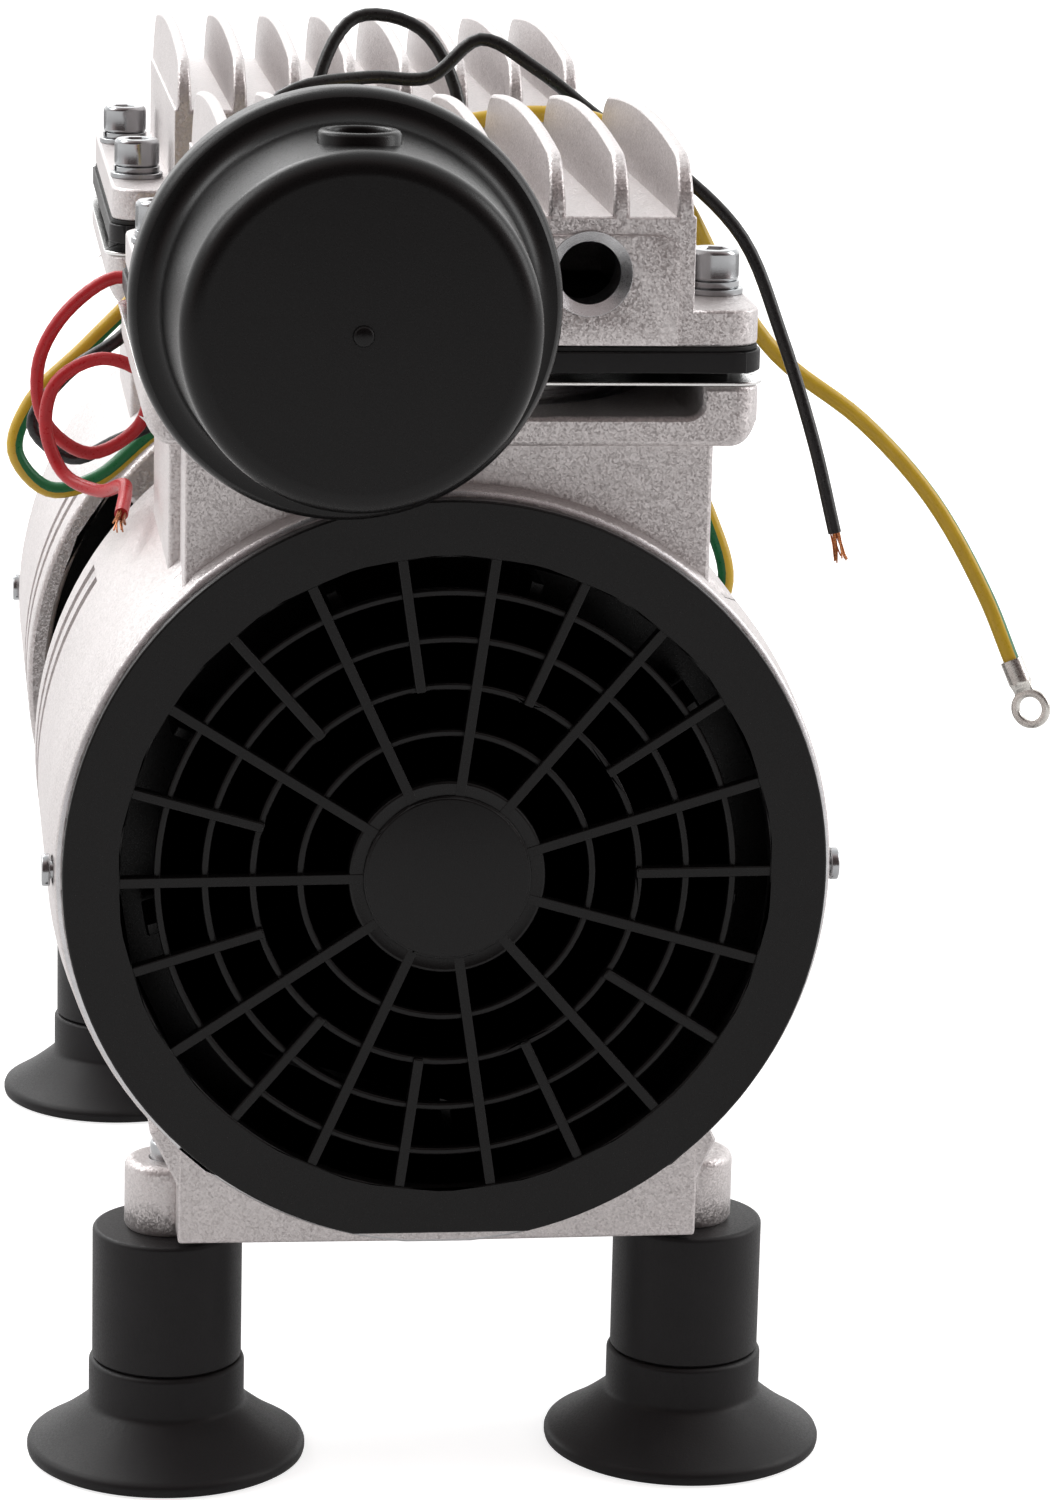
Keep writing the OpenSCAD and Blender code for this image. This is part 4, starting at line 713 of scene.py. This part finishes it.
for n, w in {
    "front_housing": 0.9, "rear_housing": 0.9, "front_head": 0.6, "rear_head": 0.6,
    "front_fan_cover": 0.35, "rear_fan_cover": 0.35, "front_fan": 0.4, "rear_fan": 0.4,
    "front_cylinder": 0.15, "rear_cylinder": 0.15, "deflector_sheets": 0.15,
    "front_valve_plate": 0.25, "rear_valve_plate": 0.25, "head_gaskets": 0.15,
    "stator_core": 0.3, "stator_bolts": 0.3, "manifold_tubes": 0.2, "shaft": 0.3,
    "front_eccentric": 0.4, "rear_eccentric": 0.4, "front_rod": 0.5, "rear_rod": 0.5,
    "silencer_nipple": 0.3, "foot_studs": 0.4, "fan_cover_screws": 0.25,
}.items():
    soften(n, w, at_port_bore if n.endswith("head") else at_mouth if n.endswith("housing") else None, FIT.get(n))

def at_corners(outline, side, y):
    """Corners in mm, mirrored to a side of the pump, at a distance y from its middle."""
    return [Vector((x, side * y, z)) * MM for x, z in outline]


# the cast panel on each head's end face, with a notch round each port of the front one
for side, head in ((-1, "front_head"), (1, "rear_head")):
    outline = [(-35.5, 193.2), (35.5, 193.2)] + arc(31.5, 207.1, 4, 0, 90, 8)
    if side < 0:
        outline += arc(PORT_X, PORT_Z, 6.8, 67.9, -247.9, 40) + arc(-PORT_X, PORT_Z, 6.8, 67.9, -247.9, 40)
    outline += arc(-31.5, 207.1, 4, 90, 180, 8)
    bm = bmesh.new()
    low, top = ([bm.verts.new(co) for co in at_corners(outline, side, y)] for y in (CUT_FACE_Y - 0.2, FACE_Y))
    join_rings(bm, [low, top])
    bm.faces.new(low)
    face = bm.faces.new(top)
    bmesh.ops.recalc_face_normals(bm, faces=bm.faces)
    bmesh.ops.bevel(bm, geom=list(face.edges), offset=0.28 * MM, segments=2, profile=0.6, affect="EDGES")
    piece(head + "_panel", bm, "cast_aluminium", 40)

    # the rib on the left of the neck below
    bm = bmesh.new()
    bmesh.ops.create_cube(bm, size=1)
    for v in bm.verts:
        v.co = Vector((-42.95 + 3.9 * v.co.x, side * BANK_Y + 50 * v.co.y, 160.2 + 32 * v.co.z)) * MM
    upright = [e for e in bm.edges if abs(e.verts[0].co.z - e.verts[1].co.z) > 10 * MM]
    bmesh.ops.bevel(bm, geom=upright, offset=0.7 * MM, segments=3, profile=0.5, affect="EDGES")
    piece(head + "_neck_rib", bm, "cast_aluminium", 40)

# the mouth of the open port: a turned chamfer and the first thread
bm = bmesh.new()
lathe_into(bm, [(5.6, -3.0), (5.1, -2.6), (5.1, -1.35), (6.78, 0.06), (6.86, 0.06), (6.86, -0.4), (6.6, -0.4),
                (5.6, -1.7)], facing(-1, (PORT_X, -FACE_Y, PORT_Z)), segments=96)
piece("front_head_port_rim", bm, "machined_aluminium", 25)

# round bosses over the feet, and the gussets between the base and the shell
BOSS = [(3.1, 41.2), (3.1, 52.0), (3.3, 52.2), (5.7, 52.25)] + arc(5.7, 50.65, 1.6, 90, 0, 8)
BOSS += [(7.3, 41.0), (6.9, 40.25), (3.1, 40.25)]
GUSSET_TIPS = {-1: ((44.9, 54.3), (48.2, 60.9)), 1: ((44.6, 54.0), (46.6, 58.3))}
GUSSET_EDGE = 0.45
bm = bmesh.new()
for sx in (-1, 1):
    # its section as (x, z); the last value says whether the corner draws in at the two ends
    (x1, z1), (x2, z2) = GUSSET_TIPS[sx]
    section = [(40.0, 47.0, 0), (43.45, 50.5, 1), (43.8, 52.1, 1), (x1, z1, 1), (x2, z2, 1), (44.5, 62.0, 0),
               (40.0, 60.0, 0)]
    for sy in (-1, 1):
        lathe_into(bm, BOSS, lift_to(sx * FOOT_X, sy * FOOT_Y), segments=64)
        rows = []
        for y, inset in ((-115.85, GUSSET_EDGE), (-115.4, 0.0), (-28.0, 0.0), (-27.5, GUSSET_EDGE)):
            rows.append([bm.verts.new(Vector((sx * (x - inset * moves), -sy * y, z)) * MM)
                         for x, z, moves in section])
        join_rings(bm, rows)
        bm.faces.new(rows[0])
        bm.faces.new(rows[-1])
piece("foot_bosses_round", bm, "cast_aluminium", 35)

DUCT = [(60.75, 112.0), (59.9, 112.0), (59.7, 111.5), (59.7, 93.4), (59.0, 92.8), (39.3, 92.7), (39.0, 92.4),
        (39.0, 92.0), (60.75, 92.0)]
BACK_PLATE = [(11.0, 96.1), (41.6, 96.1), (42.0, 96.4), (42.0, 97.4), (41.6, 97.8), (12.0, 98.1), (11.0, 98.1)]
HUB = [(0, 0.12), (13.2, 0.12)] + arc(13.2, -0.18, 0.3, 90, 0, 4) + [(13.55, -0.5), (15.6, -0.5)]
HUB += arc(15.7, -1.0, 0.55, 90, 0, 5) + [(16.3, -2.2), (0, -2.2)]
for side, cover, fan in ((-1, "front_fan_cover", "front_fan"), (1, "rear_fan_cover", "rear_fan")):
    # behind each cover: a black duct with a flange, and a wider back plate on the fan
    bm = bmesh.new()
    lathe_into(bm, DUCT, facing(side, (0, 0, AXIS_Z)), segments=120)
    piece(cover + "_duct", bm, "black_plastic", 40)
    bm = bmesh.new()
    lathe_into(bm, BACK_PLATE, facing(side, (0, 0, AXIS_Z)), segments=96)
    piece(fan + "_back_plate", bm, "black_plastic", 40, BODY_OF[fan])
for side, cover in ((-1, "front_fan_cover"), (1, "rear_fan_cover")):
    # the blank disc in its middle, with a fine step round it
    bm = bmesh.new()
    lathe_into(bm, HUB, facing(side, (0, side * 120, AXIS_Z)), segments=96, closed=False)
    piece(cover + "_hub", bm, "black_plastic", 50)

# ---------------------------------------------------------------- silencer

PORT = facing(-1, (-PORT_X, -CUT_FACE_Y, PORT_Z))
rim_r, root_r, front_r, out, end = 33.2, 28.2, 27.0, 38.0, 65.0
profile = [(0, end)] + arc(front_r - 3.6, end - 3.6, 3.6, 90, 2, 14) + arc(root_r + 3.9, out + 3.9, 3.9, 178, 268, 12)
profile += arc(rim_r - 3.4, out - 3.4, 3.4, 90, 0, 14) + arc(rim_r - 0.5, out - 6.5, 0.5, 0, -90, 4)
profile += [(30.6, out - 7), (30.4, out - 6.8), (30.4, out - 2), (root_r - 2, out - 2),
            (front_r - 2, end - 4), (front_r - 4, end - 2), (0, end - 2)]
bm = bmesh.new()
lathe_into(bm, profile, PORT, segments=144, closed=False)
# the small nub in the middle of the lid
lathe_into(bm, [(0, end + 0.75), (1.2, end + 0.7), (1.55, end + 0.45), (1.7, end - 0.2), (0, end - 0.3)], PORT,
           segments=32, closed=False)
# the nozzle on its top
lathe_into(bm, [(4.5, 23.0), (6.3, 23.0), (6.3, 28.2), (6.05, 28.6), (5.7, 28.8), (4.9, 28.8), (4.62, 28.6),
                (4.5, 28.2)], lift_to(-PORT_X, -171.5, PORT_Z), segments=56)
piece("silencer_lid_shell", bm, "black_plastic", 42, nodes=["silencer_lid"])

bowl = [(5.65, 6), (27.3, 6)] + arc(27.3, 9.0, 3.0, -90, 0, 8)
bowl += [(30.3, 35.9), (28.35, 35.9), (28.35, 10.5), (26.6, 8), (9, 8), (9, 12), (5.65, 12)]
bm = bmesh.new()
lathe_into(bm, bowl, PORT, segments=120)
piece("silencer_body_bowl", bm, "black_plastic", 42, nodes=["silencer_body"])

# ---------------------------------------------------------------- feet

FEET = {"front_left": (-FOOT_X, -FOOT_Y), "front_right": (FOOT_X, -FOOT_Y),
        "rear_left": (-FOOT_X, FOOT_Y), "rear_right": (FOOT_X, FOOT_Y)}
buffer = [(3.1, 27.6), (3.1, 40.2), (11.9, 40.2)] + arc(11.85, 39.4, 0.8, 85, 0, 5)
buffer += [(12.65, 17.5), (12.3, 17.1), (8.95, 17.1), (8.95, 10.8), (8.6, 10.6), (0, 10.6), (0, 27.6)]
bm = bmesh.new()
for x, y in FEET.values():
    lathe_into(bm, buffer, lift_to(x, y), segments=64)
piece("foot_buffers_rubber", bm, "foot_rubber", nodes=["foot_buffers"])

# a sloping skirt, a little hollow in its run, a soft crease under the collar and a rounded rim
SKIRT_LOW, SKIRT_TOP, SKIRT_HOLLOW = (23.4, 2.1), (14.0, 8.75), 0.35
cup = [(0, 8.4), (9.4, 8.4), (10.2, 8.1), (21.7, 0.25), (22.1, 0.0), (23.1, 0.0), (23.5, 0.25), (23.65, 0.8),
       (23.65, 1.5), SKIRT_LOW]
for k in range(1, 12):
    t = k / 12
    cup.append((SKIRT_LOW[0] + (SKIRT_TOP[0] - SKIRT_LOW[0]) * t,
                SKIRT_LOW[1] + (SKIRT_TOP[1] - SKIRT_LOW[1]) * t - SKIRT_HOLLOW * math.sin(math.pi * t)))
cup += [SKIRT_TOP, (13.5, 9.2), (13.25, 9.7), (13.2, 10.3), (13.2, 16.1)] + arc(12.3, 16.1, 0.9, 0, 90, 5)
cup += [(9.1, 17.0), (9.05, 10.5), (0, 10.5)]
for foot, (x, y) in FEET.items():
    bm = bmesh.new()
    lathe_into(bm, cup, lift_to(x, y), segments=96)
    piece(foot + "_cup_rubber", bm, "foot_rubber", nodes=[foot + "_cup"])

# ---------------------------------------------------------------- head screws and washers

SCREW_SIDES, KNURL_DEPTH, HEX_HALF = 72, 0.16, 2.3
SCREW_HEAD = [(2.5, -1), (2.5, 0), (4.0, 0), (4.2, 0.25), (4.2, 0.5), (4.25, 0.6), (4.25, 4.1), (4.2, 4.25),
              (4.15, 4.6), (3.75, 5.0), (3.0, 5.0)]


def screw_into(bm, x, y, z, turn):
    """A socket screw with a knurled head; z is the underside of the head."""
    at = lift_to(x, y, z) @ Matrix.Rotation(turn, 4, "Z")
    turns = [2 * math.pi * k / SCREW_SIDES for k in range(SCREW_SIDES)]

    def ring(radii, h):
        return [bm.verts.new(at @ (Vector((r * math.cos(a), r * math.sin(a), h)) * MM))
                for r, a in zip(radii, turns)]

    rows = []
    for r, h in SCREW_HEAD:
        knurl = KNURL_DEPTH if 0.55 < h < 4.2 else 0
        rows.append(ring([r - knurl * (k % 2) for k in range(SCREW_SIDES)], h))
    # the hexagon of the socket, with a small chamfer
    flat = HEX_HALF * math.cos(math.pi / 6)
    hexagon = [flat / math.cos((a % (math.pi / 3)) - math.pi / 6) for a in turns]
    for grow, h in ((1.06, 5.0), (1, 4.85), (1, 2.45)):
        rows.append(ring([r * grow for r in hexagon], h))
    join_rings(bm, rows)
    close_ends(bm, rows)


SHANK = [(2.5, 178.2), (2.5, 201.0), (0, 201.0), (0, 178.2)]
WASHER = [(2.8, 199.02), (4.9, 199.02), (5.0, 199.12), (5.0, 199.9), (4.85, 200.0), (2.85, 200.0)]
SPRING_SECTION = ((2.85, 0.05), (4.3, 0.0), (4.35, 0.1), (4.35, 1.0), (4.25, 1.08), (2.85, 1.08))
SPRING_Z, SPRING_RISE, SPRING_STEPS = 200.05, 0.12, 40
screw_bm, washer_bm = bmesh.new(), bmesh.new()
for x, y in [(x, side * BANK_Y + dy) for side in (-1, 1) for x in (-SCREW_X, SCREW_X) for dy in (-SCREW_DY, SCREW_DY)]:
    screw_into(screw_bm, x, y, 201.3, rng.uniform(0, 1))
    lathe_into(screw_bm, SHANK, lift_to(x, y), segments=24)
    lathe_into(washer_bm, WASHER, lift_to(x, y), segments=48)
    # the split spring washer rises from one end to the other
    turn = rng.uniform(0, 6)
    rows = []
    for k in range(SPRING_STEPS + 1):
        a = turn + math.radians(6 + 348 * k / SPRING_STEPS)
        lift = SPRING_Z + SPRING_RISE * k / SPRING_STEPS
        rows.append([washer_bm.verts.new(Vector((x + r * math.cos(a), y + r * math.sin(a), z + lift)) * MM)
                     for r, z in SPRING_SECTION])
    join_rings(washer_bm, rows)
    close_ends(washer_bm, rows)
piece("head_screws_knurled", screw_bm, "zinc_steel", 40, nodes=["head_screws"])
piece("head_washers_pairs", washer_bm, "zinc_steel", 40, nodes=["head_washers"])

# ---------------------------------------------------------------- windings

BUNDLES, WIRE_R, LACES, LACE_R = 24, 0.8 * MM, 36, 0.45 * MM
LAYERS = ((33.0, 10.6), (36.3, 12.6), (39.7, 11.4))     # radius of each layer of turns, and how far it reaches out
LACE_ROUTE = ((42.2, 24), (42.7, 29), (41.4, 33.6), (37.8, 35.5), (33.6, 34.9), (30.7, 31), (30.6, 26))


def winding(name, node_name, side):
    """End turns of copper wire: bundles that arch from slot to slot, laced with cord."""
    bm = bmesh.new()
    for layer, (r, reach) in enumerate(LAYERS):
        for i in range(BUNDLES):
            a0 = 2 * math.pi * (i + 0.3 * layer) / BUNDLES
            span = math.radians(74)
            for strand in range(3):
                pts = []
                for k in range(13):
                    s = k / 12
                    lift = math.sin(math.pi * s) ** 0.45
                    a = a0 + span * s + 0.012 * strand
                    rr = r + 0.9 * (strand - 1) + 0.7 * math.sin(math.pi * s)
                    h = 22.0 + reach * lift + 0.5 * strand
                    pts.append(Vector((rr * math.cos(a), side * h, AXIS_Z + rr * math.sin(a))) * MM)
                tube_into(bm, pts, WIRE_R, 6)
    piece(name, bm, "copper_wire", 60, nodes=[node_name])
    # a solid core keeps the bundle from being seen through, and the laces go round it
    bm = bmesh.new()
    core = facing(side, (0, 0, AXIS_Z))
    lathe_into(bm, [(31.6, 22.2), (31.2, 30), (33, 33.2), (38, 33.6), (41, 31), (41.2, 22.2)], core, segments=72)
    for i in range(LACES):
        pts = []
        for j, (r, h) in enumerate(LACE_ROUTE):
            a = 2 * math.pi * i / LACES + 0.03 * math.sin(j)
            pts.append(core @ (Vector((r * math.cos(a), r * math.sin(a), h)) * MM))
        tube_into(bm, smooth(pts, 3), LACE_R, 6)
    piece(name + "_lacing", bm, "seal_plastic", 60)


winding("front_winding_turns", "front_winding", -1)
winding("rear_winding_turns", "rear_winding", 1)

# ---------------------------------------------------------------- view transform

scene = bpy.context.scene
scene.view_settings.view_transform = "Standard"
